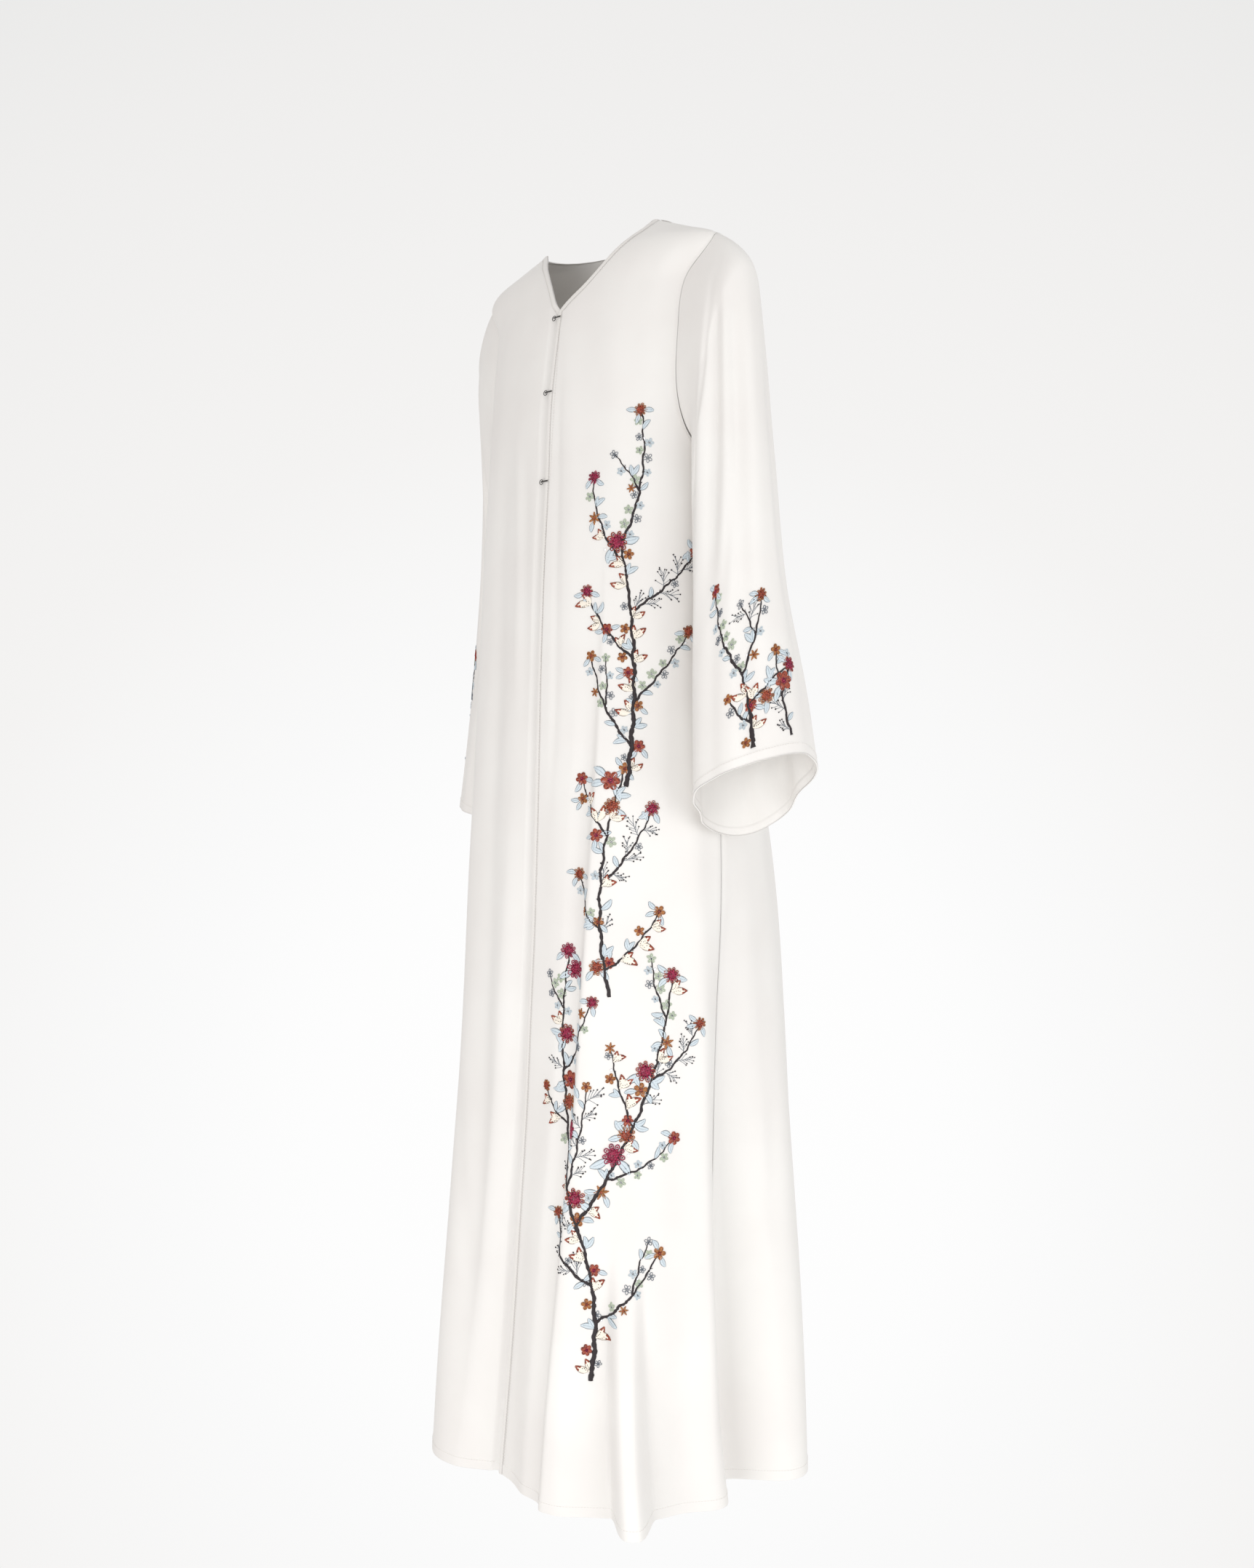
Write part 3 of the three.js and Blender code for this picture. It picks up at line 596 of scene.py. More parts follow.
def sleeve_out(s, theta, t, off):
    """The sleeve's point moved off it. Near the armhole the direction turns into the body's
    own normal there, where the two look the same way."""
    theta, t = np.broadcast_arrays(np.asarray(theta, float), np.asarray(t, float))
    a = sleeve_point(s, theta + 0.8, t) - sleeve_point(s, theta - 0.8, t)
    b = (sleeve_point(s, theta, np.minimum(1, t + 0.004))
         - sleeve_point(s, theta, np.maximum(0, t - 0.004)))
    own = unit(np.cross(a, b)) * s["side"]
    c, n = np.cos(np.radians(theta)), np.sin(np.radians(theta))
    z0 = ARM_MID + ARM_HALF * c
    phi = s["side"] * sleeve_edge(z0, n)
    seam = body_out(phi, z0, 1.0) - body(phi, z0)
    facing = np.sum(own * seam, -1)
    k = (smooth(-0.2, 0.6, facing) * (1 - smooth(0, 0.05, t)))[..., None]
    return sleeve_point(s, theta, t) + unit(mix(own, seam, k)) * np.asarray(off)[..., None]


SLEEVE_T = np.unique([*np.linspace(0, 1, 150)[:-4] ** 1.35,
                      0.972, 0.9755, 0.978, 0.9795, 0.981, 0.985, 0.99, 0.996, 1])
SLEEVE_THETA = np.arange(0.0, 360.0, 3.0)


def cuff_thickness(t):
    """Extra thickness of the turned-up cuff, in the last fiftieth of the sleeve."""
    return TURN_UP * smooth(0.9785, 0.981, t)


def sleeve(name, s):
    """Two grids of the same tube: its face, and its inside one thickness within."""
    theta, t = np.meshgrid(SLEEVE_THETA, SLEEVE_T)
    raised = cuff_thickness(t)
    off = -SEAM_PULL * np.exp(-(t / 0.005) ** 2)
    return shell(name, sleeve_out(s, theta, t, raised + off),
                 sleeve_out(s, theta, t, off - CLOTH - raised), around=True)


left_sleeve = sleeve("left_sleeve", SLEEVE_LEFT)
right_sleeve = sleeve("right_sleeve", SLEEVE_RIGHT)

# %% [markdown]
# ## Materials
# Colours are given as the hex values that a screen shows and turned to linear light. One
# function adds a node with its settings and links; every finish is built with it.

# %% Colour and node helpers
def linear(hex_colour):
    """sRGB hex to linear: c / 12.92 up to 0.04045, else ((c + 0.055) / 1.055)^2.4."""
    c = np.array([int(hex_colour[k:k + 2], 16) for k in (1, 3, 5)]) / 255
    c = np.where(c <= 0.04045, c / 12.92, ((c + 0.055) / 1.055) ** 2.4)
    return (*c.tolist(), 1.0)


def new_material(name):
    """A material with only its shader and output."""
    material = bpy.data.materials.new(name)
    material.use_nodes = True
    return material, material.node_tree, material.node_tree.nodes["Principled BSDF"]


def add(tree, kind, settings=None, **inputs):
    """One node: `settings` are its properties, `inputs` its sockets by name or number; a
    socket given as a link comes from another node."""
    node = tree.nodes.new("ShaderNode" + kind)
    for key, value in (settings or {}).items():
        setattr(node, key, value)
    for key, value in inputs.items():
        socket = node.inputs[int(key[1:]) if key[0] == "i" and key[1:].isdigit()
                             else key.replace("_", " ")]
        if isinstance(value, bpy.types.NodeSocket):
            tree.links.new(value, socket)
        else:
            socket.default_value = value
    return node


def ramp(tree, fac, stops):
    """A colour ramp with these (place, hex) stops."""
    node = add(tree, "ValToRGB", i0=fac)
    band = node.color_ramp
    while len(band.elements) < len(stops):
        band.elements.new(0.5)
    for element, (place, colour) in zip(band.elements, stops):
        element.position, element.color = place, linear(colour)
    return node.outputs[0]


def tone_and_gloss(tree, shader, pattern, stops, grain, low, high):
    """A shader's colour is a ramp of one pattern, its roughness goes from low to high with
    another. Returns the colour."""
    tone = ramp(tree, pattern, stops)
    tree.links.new(tone, shader.inputs["Base Color"])
    rough = add(tree, "MapRange", i0=grain, i3=low, i4=high).outputs[0]
    tree.links.new(rough, shader.inputs["Roughness"])
    return tone


# %% [markdown]
# ### Satin-backed crepe
# Crepe is woven from hard-twisted yarn, so its face is finely pebbled and dull, with a soft
# sheen where it turns away; some light comes through it. The real pebble is about 0.3 mm. It
# is drawn at 1.6 mm, as fine as a render of the whole robe shows, and very shallow. The colour
# drifts a little, as bleached yarn does.

# %% Crepe
def crepe(name, light, dark, roughness, pebble_mm):
    """Off-white cloth: two near tones by a slow noise, a fine pebble for bump."""
    material, tree, shader = new_material(name)
    place = add(tree, "TexCoord").outputs["Object"]
    slow = add(tree, "TexNoise", Vector=place, Scale=9.0, Detail=3.0).outputs[0]
    soft = add(tree, "TexNoise", Vector=place, Scale=60.0, Detail=2.0).outputs[0]
    tone = tone_and_gloss(tree, shader, slow, [(0.35, dark), (0.65, light)],
                          soft, roughness - 0.05, roughness + 0.07)
    pebble = add(tree, "TexNoise", Vector=place, Scale=1 / (pebble_mm * MM), Detail=2.0,
                 Roughness=0.6).outputs[0]
    bump = add(tree, "Bump", Height=pebble, Strength=0.35, Distance=0.00012).outputs[0]
    tree.links.new(bump, shader.inputs["Normal"])
    shader.inputs["Sheen Weight"].default_value = 0.25
    shader.inputs["Sheen Roughness"].default_value = 0.45
    shader.inputs["Specular IOR Level"].default_value = 0.35
    shader.inputs["IOR"].default_value = 1.46
    through = add(tree, "BsdfTranslucent", Color=tone, Normal=bump).outputs[0]
    both = add(tree, "MixShader", i0=0.15, i1=shader.outputs[0], i2=through).outputs[0]
    tree.links.new(both, tree.nodes["Material Output"].inputs["Surface"])
    return material


CREPE = crepe("satin_backed_crepe", "#f8f6f3", "#f5f2ef", 0.58, 1.6)
BIND = crepe("bias_binding_crepe", "#f7f4f1", "#f3f0ec", 0.5, 1.4)
for piece in (front_left, front_right, back, left_sleeve, right_sleeve):
    piece.data.materials.append(CREPE)
for piece in (band_left, band_right, neckband):
    piece.data.materials.append(BIND)

# %% [markdown]
# ## Embroidery: from flat motifs to the cloth
# The twigs, blossoms and leaves are cord, thread, seed beads and sequins sewn on the cloth.
# Each motif is drawn flat, in mm to the right, up and out of the cloth, and is then laid on
# the curved surface at its own place, so that it bends and turns with the folds.

# %% Surfaces that carry embroidery
# how to lay a point, mm for one degree, mm for one step of height
FRONT_SURFACE = (body_out, per_degree, per_level)


def sleeve_surface(s):
    """The sleeve as (lay, across, down): a point moved off the cloth, and the millimetres
    that one degree and one share of the length stand for. Seen from outside, the angle of
    the left sleeve grows to the viewer's left, and the share grows downwards."""
    def across(a, b):
        """The distance between two points one degree apart."""
        step = sleeve_point(s, a + 0.5, b) - sleeve_point(s, a - 0.5, b)
        return -s["side"] * np.linalg.norm(step, axis=-1)

    def down(a, b):
        """The distance between two points of one line, over the share between them."""
        step = sleeve_point(s, a, b + 0.002) - sleeve_point(s, a, b - 0.002)
        return -np.linalg.norm(step, axis=-1) / 0.004
    return (lambda a, b, off: sleeve_out(s, a, b, off), across, down)


# %% Flat shapes: strip, bead and loop
def strip(path, half, height, profile=(0, 0.8, 1, 0.8, 0)):
    """A closed low ridge along a flat path: six points round each station, five over its
    top at -1, -0.62, 0, 0.62 and 1 half widths, and one beneath."""
    path = np.asarray(path, float)
    n = len(path)
    along = unit(np.gradient(path, axis=0))
    aside = np.stack([-along[:, 1], along[:, 0]], -1)
    w = np.broadcast_to(half, n)[:, None] * np.array([-1, -0.62, 0, 0.62, 1, 0])
    h = np.broadcast_to(height, n)[:, None] * np.array([*profile, -0.25])
    uv = path[:, None, :] + aside[:, None, :] * w[..., None]
    points = np.concatenate([uv, h[..., None]], -1).reshape(-1, 3)
    faces = quads(n, 6, True).tolist()
    faces += [list(range(6)), [6 * n - 1 - k for k in range(6)]]
    return points, faces


def bead(radius, height, sides=6):
    """A low dome: a foot ring, a ring at 0.72 of the radius, and a top."""
    a = np.arange(sides) * 2 * np.pi / sides
    ring = np.stack([np.cos(a), np.sin(a), 0 * a], -1)
    points = np.vstack([ring * [radius, radius, 1] + [0, 0, -0.15],
                        ring * [0.72 * radius, 0.72 * radius, 1] + [0, 0, 0.75 * height],
                        [[0, 0, height]]])
    faces = quads(2, sides, True)[:, ::-1].tolist()
    faces += [[sides + k, sides + (k + 1) % sides, 2 * sides] for k in range(sides)]
    return points, faces + [list(range(sides))[::-1]]


def loop(long, wide, thick, around=9):
    """A ring of thread: an ellipse carried round with a small four-sided section."""
    sides = 4
    a = (np.arange(around) * 2 * np.pi / around)[:, None]
    b = (np.arange(sides) * 2 * np.pi / sides + np.pi / sides)[None, :]
    r = thick * np.cos(b)
    points = np.stack([(long + r) * np.cos(a), (wide + r) * np.sin(a),
                       thick * (np.sin(b) + 0.6) + 0 * a], -1).reshape(-1, 3)
    index = np.arange(around * sides).reshape(around, sides)
    down, right = np.roll(index, -1, 0), np.roll(index, -1, 1)
    both = np.roll(down, -1, 1)
    return points, np.stack([index, down, both, right], -1).reshape(-1, 4).tolist()


def outline(length, width, power, tip=0.0, stations=7):
    """A leaf's stations, bowed by tip times sin(pi s), and its half widths: width / 2 times
    sin(pi s)^power."""
    s = np.linspace(0, 1, stations)
    half = width / 2 * np.maximum(np.sin(np.pi * (s * 0.94 + 0.03)), 0) ** power
    bow = tip * np.sin(np.pi * s)
    return np.stack([s * length, bow], -1), half


# %% [markdown]
# ### Twigs, leaves and blossoms
# Every motif is a few of those shapes. Round blossoms are rings of glass beads with a rim
# of little loops, the star ones are six ribbed petals, and the pale ones are only outlined.
# They are plain textbook kinds of leaf and flower, arranged anew.

# %% Motifs
TWIG, CRIMSON, BRICK, COPPER, CREAM, JET, ICE, BLUE_EDGE, SAGE, SLATE, PEARL = range(11)
FAMILY = {TWIG: "twigs", CRIMSON: "blossoms", BRICK: "blossoms", COPPER: "blossoms",
          CREAM: "blossoms", JET: "berries", ICE: "leaves", BLUE_EDGE: "leaves",
          SAGE: "leaves", SLATE: "leaves", PEARL: "berries"}
rng = np.random.default_rng(20)


def sew(work, colour, base, shape, turn=0.0, shift=(0.0, 0.0), lift=0.0):
    """Adds a flat shape to the work, turned by an angle and then moved, at its base."""
    points, faces = shape
    c, s = math.cos(turn), math.sin(turn)
    u = points[:, 0] * c - points[:, 1] * s + shift[0]
    v = points[:, 0] * s + points[:, 1] * c + shift[1]
    work.append((colour, np.broadcast_to(np.asarray(base, float), (len(points), 2)),
                 np.stack([u, v, points[:, 2] + lift], -1), faces))


def polar(angle, radius):
    """The flat place at this angle and distance."""
    return (radius * math.cos(angle), radius * math.sin(angle))


def pompon(work, base, size, core, edge):
    """A round blossom: a low dome, rings of beads on it, and a rim of uneven loops."""
    r, spin = size / 2, rng.uniform(0, 1)
    sew(work, core, base, bead(0.62 * r, 0.9, 11))
    for share, count, ball in ((0.58, 10, 0.17), (0.34, 7, 0.16), (0.1, 2, 0.15)):
        for k in range(count):
            a = 2 * math.pi * (k + spin + rng.uniform(-0.2, 0.2)) / count
            sew(work, core, base, bead(ball * r * rng.uniform(0.8, 1.2), 1.15),
                shift=polar(a, share * r * rng.uniform(0.9, 1.1)), lift=0.5)
    petals = 9
    for k in range(petals):
        a = 2 * math.pi * (k + spin + rng.uniform(-0.15, 0.15)) / petals
        far = rng.uniform(0.74, 0.9) * r
        big = rng.uniform(0.85, 1.15) * r
        sew(work, edge, base, loop(0.24 * big, 0.19 * big, 0.06 * r + 0.1), a, polar(a, far))
        sew(work, core, base, bead(0.1 * r, 0.8, 5), shift=polar(a, far), lift=0.2)


def rosette(work, base, size, petal, heart, petals=6):
    """Overlapping round petals, each a ribbed pad inside a loop, round a heart of beads."""
    r, spin = size / 2, rng.uniform(0, 1)
    for k in range(petals):
        a = 2 * math.pi * (k + spin) / petals
        path, half = outline(0.72 * r, 0.62 * r, 0.6, stations=5)
        sew(work, petal, base, strip(path, half, 0.95, (0, 1, 0.6, 1, 0)), a,
            polar(a, 0.22 * r))
        sew(work, petal, base, loop(0.34 * r, 0.3 * r, 0.05 * r + 0.14, 10), a,
            polar(a, 0.64 * r), 0.1)
        sew(work, heart, base, bead(0.13 * r, 1.1), shift=polar(a + 0.4, 0.26 * r), lift=0.5)
    sew(work, heart, base, bead(0.16 * r, 1.2), lift=0.7)


def star(work, base, size, petal, heart, petals=6):
    """Narrow ribbed petals from a small heart, with a bead at each tip."""
    r, spin = size / 2, rng.uniform(0, 1)
    for k in range(petals):
        a = 2 * math.pi * (k + spin) / petals + rng.uniform(-0.1, 0.1)
        path, half = outline(0.86 * r, 0.46 * r, 0.6, stations=5)
        sew(work, petal, base, strip(path, half, 1.0, (0, 1, 0.5, 1, 0)), a,
            polar(a, 0.12 * r))
        sew(work, petal, base, bead(0.13 * r, 0.9), shift=polar(a, 0.98 * r))
    sew(work, heart, base, bead(0.2 * r, 1.4), lift=0.4)


def pale_blossom(work, base, size, colour, petals=5):
    """Outlined petals of thread with a thin pad in each, and seed beads in the middle."""
    r, spin = size / 2 * 1.12, rng.uniform(0, 1)
    for k in range(petals):
        a = 2 * math.pi * (k + spin) / petals + rng.uniform(-0.15, 0.15)
        sew(work, colour, base, loop(0.37 * r, 0.28 * r, 0.42, 9), a, polar(a, 0.62 * r))
        if colour != SLATE:
            path, half = outline(0.6 * r, 0.36 * r, 0.6, stations=4)
            sew(work, colour, base, strip(path, half, 0.45), a, polar(a, 0.28 * r))
    for k in range(4):
        sew(work, SLATE, base, bead(0.62, 0.8, 5),
            shift=polar(1.6 * k + spin, (0.1 + 0.16 * (k % 2)) * r), lift=0.1)


def leaf(work, base, length, width, angle, shift):
    """A satin-stitched leaf: a wider low border, a ribbed pad on it and a thin vein."""
    bow = rng.uniform(-0.14, 0.14) * length
    path, half = outline(length, width, 0.85, bow)
    sew(work, BLUE_EDGE, base, strip(path, half + 0.45, 0.45), angle, shift)
    sew(work, ICE, base, strip(path, half, 0.8, (0.3, 1, 0.55, 1, 0.3)), angle, shift, 0.08)
    sew(work, BLUE_EDGE, base, strip(path[:6], 0.28, 0.7), angle, shift, 0.1)


def cream_petal(work, base, length, width, angle, shift):
    """A pointed cream petal, edged and tipped with rust thread, with jet dots on it."""
    path, half = outline(length, width, 1.0, rng.uniform(-0.14, 0.14) * length)
    sew(work, COPPER, base, strip(path[2:], half[2:] + 0.35, 0.5), angle, shift)
    sew(work, CREAM, base, strip(path[:6], half[:6] + 0.1, 0.9), angle, shift, 0.1)
    sew(work, BRICK, base, strip(path[4:], half[4:] + 0.1, 1.15, (0, 1, 0.5, 1, 0)), angle,
        shift, 0.1)
    for share in (0.16, 0.28, 0.4, 0.52):
        place = polar(angle + rng.uniform(-0.3, 0.3) * (1 - share), share * length)
        sew(work, JET, base, bead(0.62, 0.6, 5),
            shift=(place[0] + shift[0], place[1] + shift[1]), lift=0.8)


def spray(work, base, length, angle, shift, stalks=9):
    """A spray of berries: thin stalks that fan out from a stem, each with a dark bead."""
    stem = np.array([(0, 0), (0.3 * length, 0.3), (0.66 * length, 0.0)])
    sew(work, SLATE, base, strip(stem, 0.3, 0.4), angle, shift)
    for k in range(stalks):
        root = 0.66 * length * (0.12 + 0.88 * k / (stalks - 1))
        lean = angle + (-1) ** k * rng.uniform(0.35, 1.15) * (1 - 0.6 * k / stalks)
        reach = length * rng.uniform(0.3, 0.5)
        start = polar(angle, root)
        start = (start[0] + shift[0], start[1] + shift[1])
        sew(work, SLATE, base, strip([(0, 0), (reach * 0.5, 0.3), (reach, 0)], 0.24, 0.35),
            lean, start)
        tip = polar(lean, reach)
        sew(work, JET, base, bead(rng.uniform(0.85, 1.15), 0.9),
            shift=(start[0] + tip[0], start[1] + tip[1]))


def sequin(work, base, shift, radius):
    """A flat pearly disc of ten sides."""
    sew(work, PEARL, base, bead(radius, 0.35, 10), shift=shift, lift=0.25)


# %% [markdown]
# ### Twigs
# A twig is a padded cord, whipped with dark thread, so its width wavers and small spurs
# stand out of it. It is drawn as a curve on the cloth with a width at each of its points.

# %% Twig on a surface
def twig(work, surface, line):
    """A cord along (a, b, width) points: smooth curves through them by arc share, a station
    every 2 mm, and widths that waver by up to a quarter. Returns a way to walk along it."""
    _, across, down = surface
    line = np.asarray(line, float)
    a, b = line[:, 0], line[:, 1]
    ku, kv = across(a, b), down(a, b)
    step = np.hypot(np.diff(a) * (ku[1:] + ku[:-1]) / 2, np.diff(b) * (kv[1:] + kv[:-1]) / 2)
    run = np.concatenate([[0], np.cumsum(step)])
    n = max(4, int(run[-1] / 2.0))
    far = np.linspace(0, run[-1], n)
    a, b, width = track(far, np.column_stack([run, line])).T
    wave = (np.sin(far * 0.9 + a) + np.sin(far * 0.37 + 2 * b) + rng.uniform(-1, 1, n) * 0.8) / 2.8
    ku, kv = across(a, b), down(a, b)
    along = unit(np.stack([np.gradient(a) * ku, np.gradient(b) * kv], -1))
    aside = np.stack([-along[:, 1], along[:, 0]], -1)
    w = (width * 0.62 * (1 + 0.32 * wave))[:, None] * np.array([-1, -0.62, 0, 0.62, 1, 0])
    w = w + (0.45 * np.sin(far * 0.21 + a) + 0.25 * np.sin(far * 0.67))[:, None]
    h = (0.35 + 0.26 * width)[:, None] * np.array([0, 0.8, 1, 0.8, 0, -0.2])
    base = np.repeat(np.stack([a, b], -1), 6, 0)
    points = np.concatenate([aside[:, None, :] * w[..., None], h[..., None]], -1)
    faces = quads(n, 6, True).tolist()
    faces += [list(range(6)), [6 * n - 1 - k for k in range(6)]]
    work.append((TWIG, base, points.reshape(-1, 3), faces))

    def walk(share):
        """The place at a share of the twig and the direction it runs in there."""
        i = int(round(share * (n - 1)))
        return (a[i], b[i]), math.atan2(along[i, 1], along[i, 0]), width[i]
    for share in np.arange(0.12, 0.95, 26 / max(run[-1], 27)):
        if rng.random() < 0.45:
            place, heading, wide = walk(share)
            lean = heading + rng.choice([-1, 1]) * rng.uniform(0.5, 0.9)
            sew(work, TWIG, place, strip([(0, 0), (1.6, 0.1), (rng.uniform(2.6, 4.4), 0)],
                                         [0.36 * wide, 0.26 * wide, 0.12 * wide], 0.8), lean)
    return walk


def at(surface, base, shift):
    """The (a, b) place that is `shift` millimetres from a base."""
    _, across, down = surface
    a, b = np.asarray(base[0], float), np.asarray(base[1], float)
    return (float(a + shift[0] / across(a, b)), float(b + shift[1] / down(a, b)))


def bloom(work, surface, place, heading, kind, size, leafy):
    """One blossom; a leafy one has two or three leaves spreading from beneath it."""
    if leafy:
        for lean in (2.3, -2.2, 1.1)[:2 + int(rng.random() < 0.5)]:
            lean += heading + rng.uniform(-0.3, 0.3)
            leaf(work, place, 0.85 * size, 0.38 * size, lean, shift=polar(lean, 0.3 * size))
    if kind in ("crimson", "magenta"):
        pompon(work, place, size, CRIMSON, BRICK if kind == "crimson" else CRIMSON)
    elif kind == "brick":
        pompon(work, place, size, BRICK, COPPER)
    elif kind == "rust":
        rosette(work, place, size, BRICK, CRIMSON)
    elif kind == "copper":
        rosette(work, place, size, COPPER, BRICK, 5)
    elif kind == "star":
        star(work, place, size, COPPER, BRICK)
    else:
        pale_blossom(work, place, size, {"sage": SAGE, "slate": SLATE, "ice": ICE}[kind])


def growth(work, base, heading, side, wide, kind, size):
    """A leaf, petals or berries that grow out of the twig's side and lean along it."""
    shift = polar(heading + side * math.pi / 2, 0.3 * wide)
    lean = heading + side * rng.uniform(0.6, 1.05)
    if kind == "leaf":
        leaf(work, base, size, size * 0.42, lean, shift=shift)
    elif kind == "pair":
        leaf(work, base, size, size * 0.4, lean + 0.35 * side, shift=shift)
        leaf(work, base, 0.85 * size, size * 0.36, lean - 0.4 * side, shift=shift)
    elif kind == "cream":
        cream_petal(work, base, size, size * 0.44, lean + 0.4 * side, shift)
        cream_petal(work, base, 0.85 * size, size * 0.4, lean - 0.45 * side, shift)
    else:
        spray(work, base, 1.35 * size, lean, shift)


def room(surface, taken, place, radius):
    """Whether a motif fits: every other one is at least 0.8 of their two radii away."""
    _, across, down = surface
    ku, kv = float(across(*map(np.asarray, place))), float(down(*map(np.asarray, place)))
    if any(math.hypot((place[0] - a) * ku, (place[1] - b) * kv) < 0.8 * (radius + r)
           for a, b, r in taken):
        return False
    taken.append((*place, radius))
    return True


def laid(name, surface, lay, work, paints, off=0.0):
    """One mesh of flat work laid on a surface. A point's angle is its base's plus its mm to
    the right over the mm per degree there, its level is found in the same way, and it stands
    off the cloth by its own height plus off. Each thread in it has its material."""
    _, across, down = surface
    base, flat = np.vstack([w[1] for w in work]), np.vstack([w[2] for w in work])
    a = base[:, 0] + flat[:, 0] / across(base[:, 0], base[:, 1])
    b = base[:, 1] + flat[:, 1] / down(base[:, 0], base[:, 1])
    starts = np.cumsum([0] + [len(w[1]) for w in work])
    faces = [[k + start for k in face] for w, start in zip(work, starts) for face in w[3]]
    piece = mesh_object(name, lay(a, b, flat[:, 2] + off), faces)
    colours = sorted({w[0] for w in work})
    for colour in colours:
        piece.data.materials.append(paints[colour])
    piece.data.polygons.foreach_set("material_index", np.concatenate(
        [np.full(len(w[3]), colours.index(w[0])) for w in work]))
    print(name, "shapes", len(work), "faces", len(faces))
    return piece


def sewn_pieces(prefix, surface, work, paints):
    """One piece for each family of motifs on a surface."""
    return [laid(f"{prefix}_{family}", surface, surface[0], mine, paints, 0.1)
            for family in ("twigs", "leaves", "blossoms", "berries")
            if (mine := [w for w in work if FAMILY[w[0]] == family])]


# %% [markdown]
# ### Thread, bead and sequin finishes
# Rayon thread shines along its strands, seed beads are glass, and sequins are pearly film.
# Strands are about 0.3 mm. They are drawn as 0.7 mm ribs, as fine as a render of the whole
# robe shows.

# %% Paints for the embroidery
RIB = 0.7 * MM


def rayon(name, light, dark, roughness=0.42):
    """Rayon embroidery thread: ribs across the object, and a tone that follows their height,
    with painted shade in the grooves and painted light on the rib tops, mixed with random
    spots. The wave turns 10 * Scale radians in a metre, once for every two ribs."""
    material, tree, shader = new_material(name)
    place = add(tree, "TexCoord").outputs["Object"]
    ribs = add(tree, "TexWave", {"bands_direction": "DIAGONAL"}, Vector=place,
               Scale=6.28 / (10 * 2 * RIB), Distortion=3.0, Detail=1.0).outputs["Fac"]
    spots = add(tree, "TexNoise", Vector=place, Scale=420.0, Detail=2.0).outputs[0]
    # painted shade in the rib grooves and painted light on the rib tops: the tone follows the
    # ribs' height, with random spots mixed in
    rib_shade_and_spots = add(tree, "Mix", {"data_type": "FLOAT"}, i0=0.45, i2=ribs, i3=spots).outputs[0]
    tone_and_gloss(tree, shader, rib_shade_and_spots, [(0.3, dark), (0.7, light)],
                   spots, roughness - 0.06, roughness + 0.12)
    bump = add(tree, "Bump", Height=ribs, Strength=0.5, Distance=0.0002).outputs[0]
    tree.links.new(bump, shader.inputs["Normal"])
    shader.inputs["Sheen Weight"].default_value = 0.15
    return material


def seed_glass(name, light, dark, roughness=0.22):
    """Glass seed beads: each clump a little lighter or darker, with a gloss."""
    material, tree, shader = new_material(name)
    place = add(tree, "TexCoord").outputs["Object"]
    clumps = add(tree, "TexVoronoi", Vector=place, Scale=380.0).outputs["Distance"]
    tone_and_gloss(tree, shader, clumps, [(0.1, dark), (0.65, light)],
                   clumps, roughness, roughness + 0.2)
    shader.inputs["IOR"].default_value = 1.52
    return material


pearl, tree, shader = new_material("pearly_sequin_film")
place = add(tree, "TexCoord").outputs["Object"]
tint = add(tree, "TexNoise", Vector=place, Scale=260.0, Detail=1.0).outputs[0]
tone_and_gloss(tree, shader, tint, [(0.3, "#fdfcfa"), (0.55, "#f3f4f8"), (0.75, "#fbf3ee")],
               tint, 0.16, 0.3)
shader.inputs["Coat Weight"].default_value = 0.6

PAINTS = {
    TWIG: rayon("aubergine_cord", "#2a191f", "#0c0608", 0.55),
    CRIMSON: seed_glass("crimson_seed_glass", "#9c1c46", "#560c24"),
    BRICK: seed_glass("brick_seed_glass", "#a34a32", "#5c1c14"),
    COPPER: seed_glass("copper_seed_glass", "#ab6d38", "#6c3a16"),
    CREAM: rayon("cream_floss", "#fbf5ea", "#ebe0cf"),
    JET: seed_glass("jet_seed_glass", "#332d31", "#100c0f", 0.15),
    ICE: rayon("ice_blue_floss", "#dde6eb", "#bccad3"),
    BLUE_EDGE: rayon("blue_grey_floss", "#a9b5be", "#82909c"),
    SAGE: rayon("sage_floss", "#d0dac7", "#a8b69d"),
    SLATE: rayon("slate_floss", "#848c96", "#535a65"),
    PEARL: pearl}

# %% [markdown]
# ### How a branch grows
# The arrangement is grown from two short tables, in mm and degrees. A stem starts on its
# parent, heads some degrees to the right of straight up and turns evenly on its way. What
# grows along it comes from a named set, on alternate sides, wherever there is room.

# %% Growing
# millimetres between motifs, then (kind, size) in turn
SETS = {
    "pale": (8.6, [("sage", 10), ("slate", 9), ("sage", 9), ("ice", 9), ("slate", 8),
                   ("leaf", 12), ("sage", 10), ("ice", 8)]),
    "leafy": (11.0, [("pair", 15), ("ice", 9), ("leaf", 14), ("slate", 9), ("pair", 14),
                    ("sage", 9), ("star", 11)]),
    "berry": (10.0, [("spray", 16), ("spray", 15), ("slate", 8), ("spray", 16), ("spray", 14),
                    ("leaf", 12)]),
    "petal": (12.0, [("cream", 19), ("pair", 14), ("cream", 18), ("copper", 12), ("cream", 17),
                     ("slate", 8), ("rust", 14)]),
    "rich": (13.0, [("magenta", 22), ("cream", 18), ("brick", 17), ("pair", 16), ("rust", 20),
                    ("spray", 15), ("copper", 15), ("leaf", 16), ("crimson", 21),
                    ("cream", 17), ("ice", 9), ("star", 15), ("pair", 15), ("sage", 10)])}
GROWING = ("leaf", "pair", "cream", "spray")


